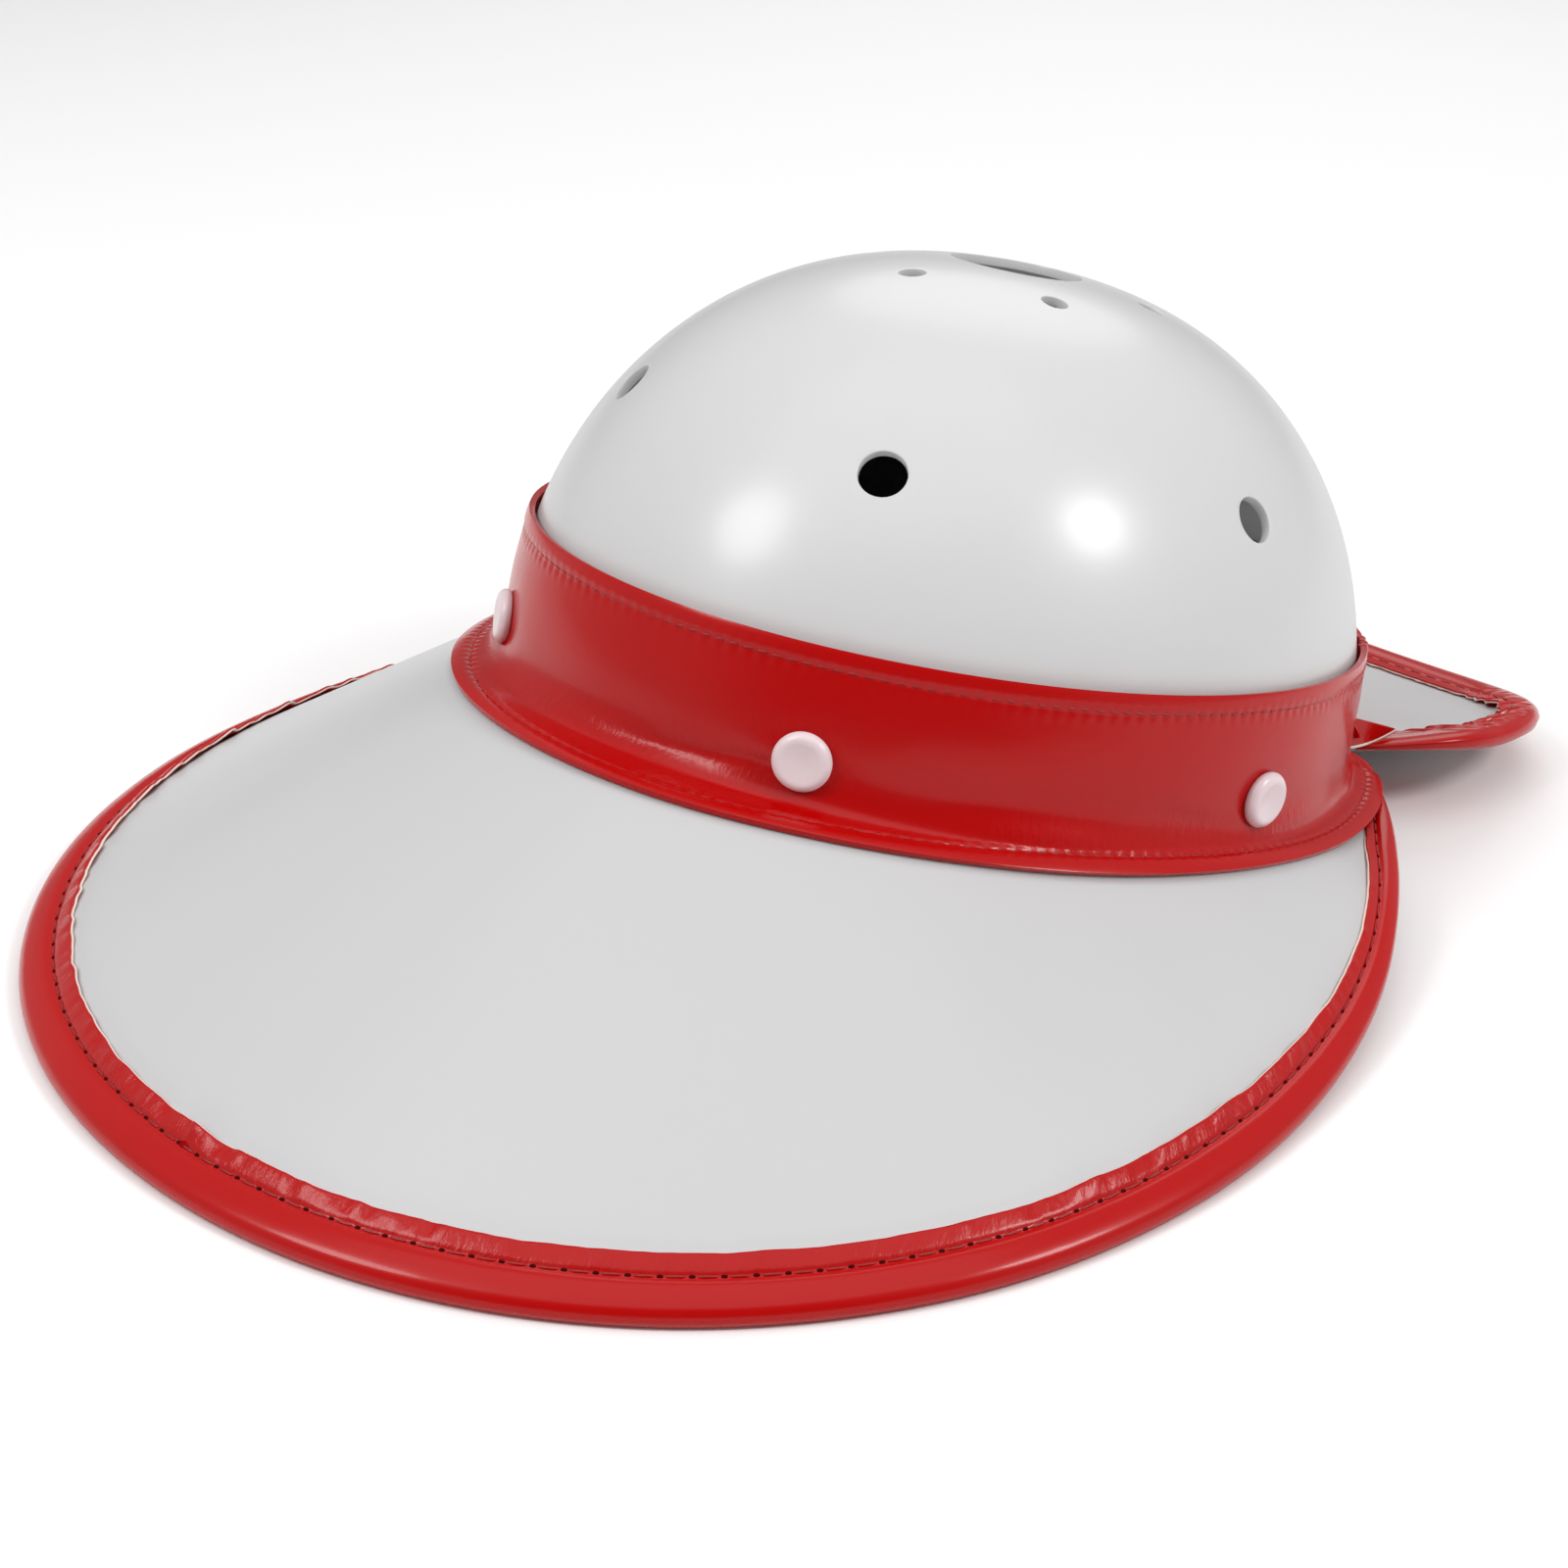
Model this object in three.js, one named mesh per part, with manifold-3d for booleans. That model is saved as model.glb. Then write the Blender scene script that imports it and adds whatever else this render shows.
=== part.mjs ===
// Wide brim golf hat: a hard plastic dome with a vinyl band snapped round it, a bent front brim
// and a back flap, both bound in folded vinyl. Millimetres, +Z up, the hat resting on Z = 0 with
// its front towards -Y and its origin under the middle of its box.
//
// Crown coordinates have their origin on the dome's axis, level with the snaps. The dome leans
// back by CROWN_LEAN about X. Angles round the hat are in degrees from the front.

import * as THREE from 'three';
import { mergeVertices } from 'three/addons/utils/BufferGeometryUtils.js';
import Module from 'manifold-3d';

const wasm = await Module();
wasm.setup();

// Dome
const CROWN_HALF_WIDTH = 94;
const CROWN_HALF_LENGTH = 104;
const CROWN_HEIGHT = 91.5;
const CROWN_WALL = 2.2;
const CROWN_LEAN = 12.5;
const CROWN_STAND = 42;
const DOME_RISE_POWER = 1.94;
const DOME_PLAN_POWER = 2.31;
const TOP_OPENING = 30;
const LARGE_VENT = 10.2;
const LARGE_VENT_HEIGHT = 53.8;
const SMALL_VENT = 6;
const SMALL_VENT_RING = 34;

// Black band inside the dome
const HEADBAND_WALL = 3;
const HEADBAND_TOP = 29.5;
const HEADBAND_ABOVE_RIM = 4.5;

// Red vinyl band
const BAND_WALL = 1.4;
const BAND_TOP = 21;
const BAND_STRAIGHT = 9.2;
const BAND_END = 134;
const BAND_TOP_STAND_OFF = 0.6;
const FLARE_OVERHANG = 16.4;
const FLARE_DROP = 3.6;
const TURN_OUT = 1.7;
const TURN_DROP = 1.8;
const BACK_FLARE_OVERHANG = 12;

// White sheets
const BRIM_WALL = 1.8;
const BRIM_OVERHANG = 117.3;
const BRIM_END = 117;
const BRIM_ROOT_DROP = 4.8;
const BRIM_SLOPE = 28;
const FLAP_WALL = 1.8;
const FLAP_INSET = 3.7;
const FLAP_SET_BACK = 8.2;
const FLAP_REAR_DEPTH = 54.7;
const FLAP_FRONT_DEPTH = 46.9;
const FLAP_CORNER_POWER = 2.5;
const FLAP_END_TURN = 133;
const FLAP_ROOT_DROP = 3.8;
const FLAP_CURL = 12;
const FLAP_SLOPE = 9;

// Folded binding of both sheets
const BINDING_WIDTH = 13.5;
const BINDING_WALL = 1;
const BINDING_NOSE = 1.9;
const BINDING_SHARE_AT_ENDS = 0.55;
const BINDING_CORNER = 0.8;
const FLOOR_PRESS = 1.1;

// Snaps
const SNAP_DIAMETER = 12.4;
const SNAP_HEIGHT = 2.6;
const SNAP_LEVEL = -2.1;
const SNAP_ANGLES = [-150, -90, -30, 30, 90, 150];

// Clearance between pieces that meet
const GAP = 0.4;

// Rim of the dome, below the brim's root
const RIM_BELOW_BRIM = 2.5;
const CROWN_SKIRT = BAND_STRAIGHT + BRIM_ROOT_DROP + RIM_BELOW_BRIM;

// Steps
const CROWN_STEPS = 52;
const DOME_ROWS = 9;
const FRONT_BAND_STEPS = 50;
const BACK_BAND_STEPS = 22;
const BRIM_STEPS = 46;
const FLAP_STEPS = 30;
const FLAP_BINDING_STEPS = 40;
const VENT_SIDES = 16;
const SNAP_SIDES = 14;

// The front band's lower edge and the brim's outer edge, by angle from the front. flare, drop and
// turn are shares of FLARE_OVERHANG, FLARE_DROP and BAND_STRAIGHT, reach is one of BRIM_OVERHANG,
// and lift is one of the height from the floor to the flare.
const FRONT_ROWS = [
  { angle: 0, flare: 1.0, drop: 1.0, turn: 1.0, reach: 1.0, lift: 0.0 },
  { angle: 15, flare: 0.93, drop: 1.07, turn: 1.0, reach: 0.977, lift: 0.0 },
  { angle: 30, flare: 0.75, drop: 1.17, turn: 1.0, reach: 0.901, lift: 0.0 },
  { angle: 45, flare: 0.57, drop: 1.36, turn: 1.0, reach: 0.774, lift: 0.0 },
  { angle: 60, flare: 0.48, drop: 1.53, turn: 1.0, reach: 0.611, lift: 0.0 },
  { angle: 75, flare: 0.48, drop: 1.53, turn: 1.0, reach: 0.45, lift: 0.04 },
  { angle: 90, flare: 0.57, drop: 1.36, turn: 1.0, reach: 0.31, lift: 0.21 },
  { angle: 105, flare: 0.68, drop: 1.06, turn: 1.0, reach: 0.188, lift: 0.55 },
  { angle: 120, flare: 0.7, drop: 0.58, turn: 0.83, reach: 0.105, lift: 0.85 },
  { angle: 134, flare: 0.65, drop: 0.08, turn: 0.58, reach: 0.055, lift: 0.9 },
];

// The back band's lower edge, by angle from the front. out is a share of BACK_FLARE_OVERHANG, and
// turn and edge are heights in shares of BAND_STRAIGHT. Its ends spread over the flap's corners.
const BACK_ROWS = [
  { angle: 134, out: 1.0, turn: 0.2, edge: -0.52 },
  { angle: 139, out: 0.8, turn: -0.2, edge: -0.56 },
  { angle: 143, out: 0.5, turn: -0.65, edge: -0.82 },
  { angle: 147, out: 0.15, turn: -1.0, edge: -1.08 },
  { angle: 164, out: 0.13, turn: -1.0, edge: -1.09 },
  { angle: 180, out: 0.13, turn: -1.0, edge: -1.09 },
];

// Rows of a band's upright part, from its lower end, 0, to its top edge, 1.
const UPRIGHT_SHARES = [1, 0.7, 0.35, 0];

// How far across a sheet each of its inner rows is.
const BRIM_SHARES = [0.3, 0.65];
const FLAP_SHARES = [0, 0.25, 0.5, 0.75, 1];

const white = { color: 0xe6e6e6, roughness: 0.35, metalness: 0 };
const palePlastic = { color: 0xf0e6e6, roughness: 0.3, metalness: 0 };
const redVinyl = { color: 0xb00808, roughness: 0.3, metalness: 0 };
const blackFoam = { color: 0x0c0c0c, roughness: 0.8, metalness: 0 };

const radians = THREE.MathUtils.degToRad;
const toFloor = new THREE.Matrix4().makeRotationX(-radians(CROWN_LEAN)).setPosition(0, 0, CROWN_STAND);

// Smooth value of a table's column at an angle either side of the middle: a cubic through the
// rows, level at the first one.
function column(table, name, angle) {
  const side = Math.abs(angle);
  const last = table.length - 1;
  const slope = (i) => {
    if (i === 0) return 0;
    const next = Math.min(i + 1, last);
    return (table[next][name] - table[i - 1][name]) / (table[next].angle - table[i - 1].angle);
  };
  let i = 0;
  while (i < last - 1 && table[i + 1].angle <= side) i += 1;
  const from = table[i];
  const to = table[i + 1];
  const span = to.angle - from.angle;
  const t = (side - from.angle) / span;
  const ease = t * t * (3 - 2 * t);
  return from[name] * (1 - ease) + to[name] * ease
    + slope(i) * span * t * (1 - t) * (1 - t) - slope(i + 1) * span * t * t * (1 - t);
}

// Point at a distance from the Z axis, at an angle from the front.
function around(angle, distance, z) {
  return new THREE.Vector3(distance * Math.sin(radians(angle)), -distance * Math.cos(radians(angle)), z);
}

// How far the dome has closed in at a height: 1 at and below the snaps, 0 at its top.
function domeShare(z) {
  const rise = Math.min(Math.max(z, 0) / CROWN_HEIGHT, 1);
  return (1 - rise ** DOME_RISE_POWER) ** (1 / DOME_PLAN_POWER);
}

// Distance of the dome's outside from its axis.
function crownRadius(angle, z) {
  const across = Math.sin(radians(angle)) / CROWN_HALF_WIDTH;
  const along = Math.cos(radians(angle)) / CROWN_HALF_LENGTH;
  return domeShare(z) / Math.hypot(across, along);
}

// Outside of the dome, moved by an offset along its normal. The angle is the ellipse's own.
function domePoint(angle, z, share, offset) {
  const x = CROWN_HALF_WIDTH * share * Math.sin(radians(angle));
  const y = -CROWN_HALF_LENGTH * share * Math.cos(radians(angle));
  const rise = Math.max(z, 0) / CROWN_HEIGHT;
  const closing = (DOME_RISE_POWER / DOME_PLAN_POWER / CROWN_HEIGHT) * rise ** (DOME_RISE_POWER - 1)
    * share ** (2 - DOME_PLAN_POWER);
  const normal = new THREE.Vector3(x / CROWN_HALF_WIDTH ** 2, y / CROWN_HALF_LENGTH ** 2, closing);
  return new THREE.Vector3(x, y, z).addScaledVector(normal.normalize(), offset);
}

// Closed body swept through sections. A section has an outer and an inner path of as many
// points each. A ring joins its last section to its first, and other walls are capped.
function wallGeometry(sections, ring = false) {
  const path = sections[0].outer.length;
  const loop = 2 * path;
  const positions = [];
  for (const { outer, inner } of sections) {
    for (const point of [...outer, ...inner.slice().reverse()]) positions.push(point.x, point.y, point.z);
  }
  const faces = [];
  const quad = (a, b, c, d) => faces.push(a, b, c, a, c, d);
  const spans = ring ? sections.length : sections.length - 1;
  for (let i = 0; i < spans; i += 1) {
    const here = i * loop;
    const next = ((i + 1) % sections.length) * loop;
    for (let j = 0; j < loop; j += 1) {
      const k = (j + 1) % loop;
      quad(here + j, here + k, next + k, next + j);
    }
  }
  if (!ring) {
    const end = (sections.length - 1) * loop;
    for (let j = 0; j < path - 1; j += 1) {
      quad(j, loop - 1 - j, loop - 2 - j, j + 1);
      quad(end + j, end + j + 1, end + loop - 2 - j, end + loop - 1 - j);
    }
  }
  const geometry = new THREE.BufferGeometry();
  geometry.setAttribute('position', new THREE.Float32BufferAttribute(positions, 3));
  geometry.setIndex(facingOut(positions, faces));
  geometry.computeVertexNormals();
  return geometry;
}

// Turns all faces over if the body they close is inside out.
function facingOut(positions, faces) {
  const corner = (i) => new THREE.Vector3(positions[3 * i], positions[3 * i + 1], positions[3 * i + 2]);
  let volume = 0;
  for (let i = 0; i < faces.length; i += 3) {
    volume += corner(faces[i]).dot(corner(faces[i + 1]).cross(corner(faces[i + 2])));
  }
  return volume > 0 ? faces : faces.reverse();
}

// Normal at each point of a grid, from its neighbours along and across.
function gridNormals(rows) {
  return rows.map((row, i) => row.map((point, j) => {
    const along = new THREE.Vector3().subVectors(
      rows[Math.min(i + 1, rows.length - 1)][j], rows[Math.max(i - 1, 0)][j]);
    const across = new THREE.Vector3().subVectors(
      row[Math.min(j + 1, row.length - 1)], row[Math.max(j - 1, 0)]);
    return along.cross(across).normalize();
  }));
}

// Gives a grid of middle points a thickness along its normals. Each row runs across the sheet.
function sheetSections(rows, wall, normals = gridNormals(rows)) {
  const side = (share) => rows.map((row, i) => row.map(
    (point, j) => point.clone().addScaledVector(normals[i][j], share * wall)));
  const outer = side(0.5);
  const inner = side(-0.5);
  return rows.map((row, i) => ({ outer: outer[i], inner: inner[i] }));
}

function toSolid(geometry) {
  const plain = geometry.clone();
  plain.deleteAttribute('normal');
  plain.deleteAttribute('uv');
  const merged = mergeVertices(plain, 1e-4);
  return new wasm.Manifold(new wasm.Mesh({
    numProp: 3,
    vertProperties: new Float32Array(merged.attributes.position.array),
    triVerts: new Uint32Array(merged.index.array),
  }));
}

function toGeometry(solid) {
  const mesh = solid.getMesh();
  const geometry = new THREE.BufferGeometry();
  geometry.setAttribute('position', new THREE.BufferAttribute(new Float32Array(mesh.vertProperties), 3));
  geometry.setIndex(new THREE.BufferAttribute(new Uint32Array(mesh.triVerts), 1));
  geometry.computeVertexNormals();
  return geometry;
}

function cut(geometry, cutters) {
  return toGeometry(cutters.reduce((solid, cutter) => solid.subtract(toSolid(cutter)), toSolid(geometry)));
}

// Takes away what a resting binding would press below the floor, which leaves a flat land.
function pressedOnFloor(geometry) {
  const reach = 4 * (BRIM_OVERHANG + CROWN_HALF_LENGTH + FLAP_REAR_DEPTH);
  const below = new THREE.BoxGeometry(reach, reach, reach).translate(0, 0, -reach / 2);
  return cut(geometry, [below]);
}

function piece(name, geometry, finish) {
  const mesh = new THREE.Mesh(geometry, new THREE.MeshStandardMaterial(finish));
  mesh.name = name;
  return mesh;
}

// Round cutter through the dome's wall, square to it.
function ventCutter(angle, z, share, diameter) {
  const outside = domePoint(angle, z, share, 2 * CROWN_WALL);
  const inside = domePoint(angle, z, share, -3 * CROWN_WALL);
  const direction = new THREE.Vector3().subVectors(outside, inside);
  const cutter = new THREE.CylinderGeometry(diameter / 2, diameter / 2, direction.length(), VENT_SIDES);
  const turn = new THREE.Quaternion().setFromUnitVectors(
    new THREE.Vector3(0, 1, 0), direction.clone().normalize());
  const middle = outside.add(inside).multiplyScalar(0.5);
  return cutter.applyQuaternion(turn).translate(middle.x, middle.y, middle.z);
}

// Rows of the dome from its rim to near its top: height and how far it has closed in.
function domeRows() {
  const rows = [{ z: -CROWN_SKIRT, share: 1 }, { z: -CROWN_SKIRT / 2, share: 1 }];
  const topShare = 0.94 * TOP_OPENING / 2 / CROWN_HALF_LENGTH;
  const steepest = Math.acos(topShare ** (DOME_PLAN_POWER / 2));
  for (let i = 0; i <= DOME_ROWS; i += 1) {
    const turn = (steepest * i) / DOME_ROWS;
    rows.push({
      z: CROWN_HEIGHT * Math.sin(turn) ** (2 / DOME_RISE_POWER),
      share: Math.cos(turn) ** (2 / DOME_PLAN_POWER),
    });
  }
  return rows;
}

function crownShell() {
  const rows = domeRows();
  const sections = [];
  for (let i = 0; i < CROWN_STEPS; i += 1) {
    const angle = (360 * i) / CROWN_STEPS;
    sections.push({
      outer: rows.map(({ z, share }) => domePoint(angle, z, share, 0)),
      inner: rows.map(({ z, share }) => domePoint(angle, z, share, -CROWN_WALL)),
    });
  }
  const largeShare = domeShare(LARGE_VENT_HEIGHT);
  const smallShare = SMALL_VENT_RING / CROWN_HALF_LENGTH;
  const smallHeight = CROWN_HEIGHT * (1 - smallShare ** DOME_PLAN_POWER) ** (1 / DOME_RISE_POWER);
  const top = new THREE.CylinderGeometry(
    TOP_OPENING / 2, TOP_OPENING / 2, CROWN_HEIGHT, 2 * VENT_SIDES).rotateX(Math.PI / 2);
  const cutters = [top.translate(0, 0, CROWN_HEIGHT)];
  for (const angle of SNAP_ANGLES) {
    cutters.push(ventCutter(angle, LARGE_VENT_HEIGHT, largeShare, LARGE_VENT));
    cutters.push(ventCutter(angle + 30, smallHeight, smallShare, SMALL_VENT));
  }
  return cut(wallGeometry(sections, true), cutters);
}

function innerHeadband() {
  const levels = [HEADBAND_ABOVE_RIM - CROWN_SKIRT, 0, HEADBAND_TOP / 2, HEADBAND_TOP];
  const outside = -(CROWN_WALL + GAP);
  const sections = [];
  for (let i = 0; i < CROWN_STEPS; i += 1) {
    const angle = (360 * i) / CROWN_STEPS;
    const path = (offset) => levels.map((z) => domePoint(angle, z, domeShare(z), offset));
    sections.push({ outer: path(outside), inner: path(outside - HEADBAND_WALL) });
  }
  return wallGeometry(sections, true);
}

// Even steps from one value to another, both included.
function spread(from, to, steps) {
  return Array.from({ length: steps + 1 }, (_, i) => from + ((to - from) * i) / steps);
}

// Middle points of a band's upright part, snug on the dome from its top edge down to a level.
function uprightBand(angle, level) {
  const snug = GAP + BAND_WALL / 2;
  return UPRIGHT_SHARES.map((share) => {
    const z = level + (BAND_TOP - level) * share;
    const out = snug + BAND_TOP_STAND_OFF * share ** 8;
    return around(angle, crownRadius(angle, z) + out, z);
  });
}

// Middle of the front band's lower edge, which lies on the brim.
function flareEdge(angle) {
  const out = FLARE_OVERHANG * column(FRONT_ROWS, 'flare', angle);
  const down = BAND_STRAIGHT + FLARE_DROP * column(FRONT_ROWS, 'drop', angle);
  return around(angle, crownRadius(angle, 0) + out, -down);
}

function frontBand() {
  const rows = spread(-BAND_END, BAND_END, FRONT_BAND_STEPS).map((angle) => {
    const share = column(FRONT_ROWS, 'turn', angle);
    const level = -BAND_STRAIGHT * share;
    const out = crownRadius(angle, 0) + GAP + BAND_WALL / 2 + TURN_OUT;
    const turn = around(angle, out, level - TURN_DROP * share);
    const edge = flareEdge(angle);
    return [...uprightBand(angle, level), turn, turn.clone().lerp(edge, 0.5), edge];
  });
  return wallGeometry(sheetSections(rows, BAND_WALL));
}

function backBand() {
  const seam = THREE.MathUtils.radToDeg((2 * GAP) / CROWN_HALF_WIDTH);
  const end = BAND_END + seam;
  const rows = spread(end, 360 - end, BACK_BAND_STEPS).map((angle) => {
    const side = 180 - Math.abs(180 - angle);
    const level = BAND_STRAIGHT * column(BACK_ROWS, 'turn', side);
    const out = crownRadius(angle, 0) + BACK_FLARE_OVERHANG * column(BACK_ROWS, 'out', side);
    const edge = around(angle, out, BAND_STRAIGHT * column(BACK_ROWS, 'edge', side));
    const upright = uprightBand(angle, level);
    return [...upright, upright[upright.length - 1].clone().lerp(edge, 0.5), edge];
  });
  return wallGeometry(sheetSections(rows, BAND_WALL));
}

// Height of a bound edge's middle, where its lower face is pressed on the floor.
function restingHeight(wall, slope) {
  const half = wall / 2 + GAP + BINDING_WALL;
  return half * Math.cos(radians(slope)) - FLOOR_PRESS;
}

function upward(direction) {
  return direction.z < 0 ? direction.clone().negate() : direction.clone();
}

// Rulings of the brim in floor coordinates: the bound outer edge, the point where the brim passes
// under the flare, its root by the dome, and its normal.
function brimRulings() {
  const angles = spread(-BRIM_END, BRIM_END, BRIM_STEPS);
  const stack = BAND_WALL / 2 + GAP + BRIM_WALL / 2;
  const stand = restingHeight(BRIM_WALL, BRIM_SLOPE);
  const rootOut = GAP + BRIM_WALL / 2;
  const rootLevel = -(BAND_STRAIGHT + BRIM_ROOT_DROP);
  const flares = angles.map((angle) => flareEdge(angle).applyMatrix4(toFloor));
  const edges = angles.map((angle, i) => {
    const out = crownRadius(angle, 0) + BRIM_OVERHANG * column(FRONT_ROWS, 'reach', angle);
    return around(angle, out, stand + (flares[i].z - stand) * column(FRONT_ROWS, 'lift', angle));
  });
  const normals = gridNormals(angles.map((angle, i) => [edges[i], flares[i]]));
  return angles.map((angle, i) => {
    const up = upward(normals[i][1]);
    const inner = flares[i].clone().addScaledVector(up, -stack);
    return {
      edge: edges[i],
      inner,
      up,
      root: around(angle, crownRadius(angle, 0) + rootOut, rootLevel).applyMatrix4(toFloor),
      width: Math.min(BINDING_WIDTH, BINDING_SHARE_AT_ENDS * edges[i].distanceTo(inner)),
    };
  });
}

function frontBrim() {
  const rulings = brimRulings();
  const rows = rulings.map(({ edge, inner, root }) => {
    const inward = new THREE.Vector3().subVectors(inner, edge);
    const start = edge.clone().addScaledVector(inward.clone().normalize(), BINDING_NOSE);
    const between = BRIM_SHARES.map((share) => start.clone().lerp(inner, share));
    return [start, ...between, inner, root];
  });
  const normals = rulings.map(({ up }, i) => rows[i].map(() => up));
  return wallGeometry(sheetSections(rows, BRIM_WALL, normals));
}

// Height of the flap's middle in crown coordinates: level across at its middle, curling up at
// its sides, and sloping from its root to a rear edge that lies on the floor.
function flapHeight(x, y) {
  const rear = CROWN_HALF_LENGTH + FLAP_SET_BACK + FLAP_REAR_DEPTH;
  const stand = restingHeight(FLAP_WALL, FLAP_SLOPE);
  const lean = radians(CROWN_LEAN);
  const rearLevel = (stand - CROWN_STAND + rear * Math.sin(lean)) / Math.cos(lean);
  const rootLevel = -(BAND_STRAIGHT + FLAP_ROOT_DROP);
  const slope = (rearLevel - rootLevel) / (rear - CROWN_HALF_LENGTH);
  const side = Math.abs(x) / (CROWN_HALF_WIDTH - FLAP_INSET);
  return rootLevel + slope * (y - CROWN_HALF_LENGTH) + FLAP_CURL * side ** FLAP_CORNER_POWER;
}

// Point of the flap's outline, set in from its edge: a superellipse with a shallower front half,
// by turn from the rear middle.
function flapOutline(turn, setIn) {
  const across = Math.sin(radians(turn));
  const along = Math.cos(radians(turn));
  const bow = (share) => Math.sign(share) * Math.abs(share) ** (2 / FLAP_CORNER_POWER);
  const depth = (along > 0 ? FLAP_REAR_DEPTH : FLAP_FRONT_DEPTH) - setIn;
  const x = (CROWN_HALF_WIDTH - FLAP_INSET - setIn) * bow(across);
  return { x, y: CROWN_HALF_LENGTH + FLAP_SET_BACK + depth * bow(along) };
}

function onFlap(x, y) {
  return new THREE.Vector3(x, y, flapHeight(x, y)).applyMatrix4(toFloor);
}

// The sheet runs across in strips from the dome, or the outline's front half, to the rear edge.
function backFlap() {
  const last = 90 - 180 / FLAP_STEPS;
  const rows = spread(-last, last, FLAP_STEPS).map((turn) => {
    const { x, y: rear } = flapOutline(turn, BINDING_NOSE);
    const { y: front } = flapOutline(180 - turn, BINDING_NOSE);
    const outward = GAP + FLAP_WALL / 2;
    const side = Math.min(Math.abs(x) / (CROWN_HALF_WIDTH + outward), 1);
    const dome = (CROWN_HALF_LENGTH + outward) * Math.sqrt(1 - side * side);
    const from = Math.max(front, dome);
    return FLAP_SHARES.map((share) => onFlap(x, from + (rear - from) * share));
  });
  return wallGeometry(sheetSections(rows, FLAP_WALL));
}

// Rulings square to the flap's edge, from the edge in by the binding's width.
function flapRulings() {
  const turns = spread(-FLAP_END_TURN, FLAP_END_TURN, FLAP_BINDING_STEPS);
  const step = turns[1] - turns[0];
  const rulings = turns.map((turn) => {
    const before = flapOutline(turn - step / 4, 0);
    const after = flapOutline(turn + step / 4, 0);
    const { x, y } = flapOutline(turn, 0);
    const length = Math.hypot(after.x - before.x, after.y - before.y);
    const inX = (after.y - before.y) / length;
    const inY = -(after.x - before.x) / length;
    return { edge: onFlap(x, y), inner: onFlap(x + BINDING_WIDTH * inX, y + BINDING_WIDTH * inY) };
  });
  const normals = gridNormals(rulings.map(({ edge, inner }) => [edge, inner]));
  return rulings.map((ruling, i) => ({ ...ruling, up: upward(normals[i][0]), width: BINDING_WIDTH }));
}

// Vinyl folded over a sheet's edge. Each section is a U round the edge, open inwards.
function binding(rulings, wall) {
  const cavity = wall / 2 + GAP;
  const half = cavity + BINDING_WALL;
  const bottom = BINDING_NOSE - GAP;
  const sections = rulings.map(({ edge, inner, up, width }) => {
    const inward = new THREE.Vector3().subVectors(inner, edge).normalize();
    const at = ([along, height]) => edge.clone()
      .addScaledVector(inward, along).addScaledVector(up, height);
    return {
      outer: [[width, half], [BINDING_CORNER, half], [0, half / 2],
        [0, -half / 2], [BINDING_CORNER, -half], [width, -half]].map(at),
      inner: [[width, cavity], [bottom + BINDING_CORNER / 2, cavity], [bottom, cavity / 2],
        [bottom, -cavity / 2], [bottom + BINDING_CORNER / 2, -cavity], [width, -cavity]].map(at),
    };
  });
  return pressedOnFloor(wallGeometry(sections));
}

// Snap cap, its back at Z = 0 and its rounded front dished towards the middle.
function snapCap() {
  const radius = SNAP_DIAMETER / 2;
  const profile = [[0, 0], [0.92, 0], [1, 0.2], [1, 0.5], [0.9, 0.85], [0.74, 1], [0.5, 0.8], [0, 0.62]];
  const points = profile.map(([across, up]) => new THREE.Vector2(radius * across, SNAP_HEIGHT * up));
  const lathe = new THREE.LatheGeometry(points, SNAP_SIDES);
  return toGeometry(toSolid(lathe.rotateX(Math.PI / 2)));
}

// A snap on the band's face, square to the dome.
function placeSnap(mesh, angle) {
  const seat = 2 * GAP + BAND_WALL;
  const foot = domePoint(angle, SNAP_LEVEL, 1, seat);
  const outward = domePoint(angle, SNAP_LEVEL, 1, seat + SNAP_HEIGHT).sub(foot).normalize();
  mesh.position.copy(foot);
  mesh.quaternion.setFromUnitVectors(new THREE.Vector3(0, 0, 1), outward);
  return mesh;
}

const crown = new THREE.Group();
crown.rotation.x = -radians(CROWN_LEAN);
crown.position.z = CROWN_STAND;
crown.add(piece('crown_shell', crownShell(), white));
crown.add(piece('inner_headband', innerHeadband(), blackFoam));
crown.add(piece('front_band', frontBand(), redVinyl));
crown.add(piece('back_band', backBand(), redVinyl));
SNAP_ANGLES.forEach((angle, i) => {
  crown.add(placeSnap(piece(`snap_cap_${i + 1}`, snapCap(), palePlastic), angle));
});

const hat = new THREE.Group();
hat.add(crown);
hat.add(piece('front_brim', frontBrim(), white));
hat.add(piece('brim_binding', binding(brimRulings(), BRIM_WALL), redVinyl));
hat.add(piece('back_flap', backFlap(), white));
hat.add(piece('flap_binding', binding(flapRulings(), FLAP_WALL), redVinyl));

const box = new THREE.Box3().setFromObject(hat, true);
hat.position.y = -(box.min.y + box.max.y) / 2;

export default hat;
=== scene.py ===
import math

import bmesh
import bpy
import numpy as np
from bpy.props import FloatProperty, FloatVectorProperty, IntProperty, PointerProperty
from mathutils import Matrix, Vector


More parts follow.
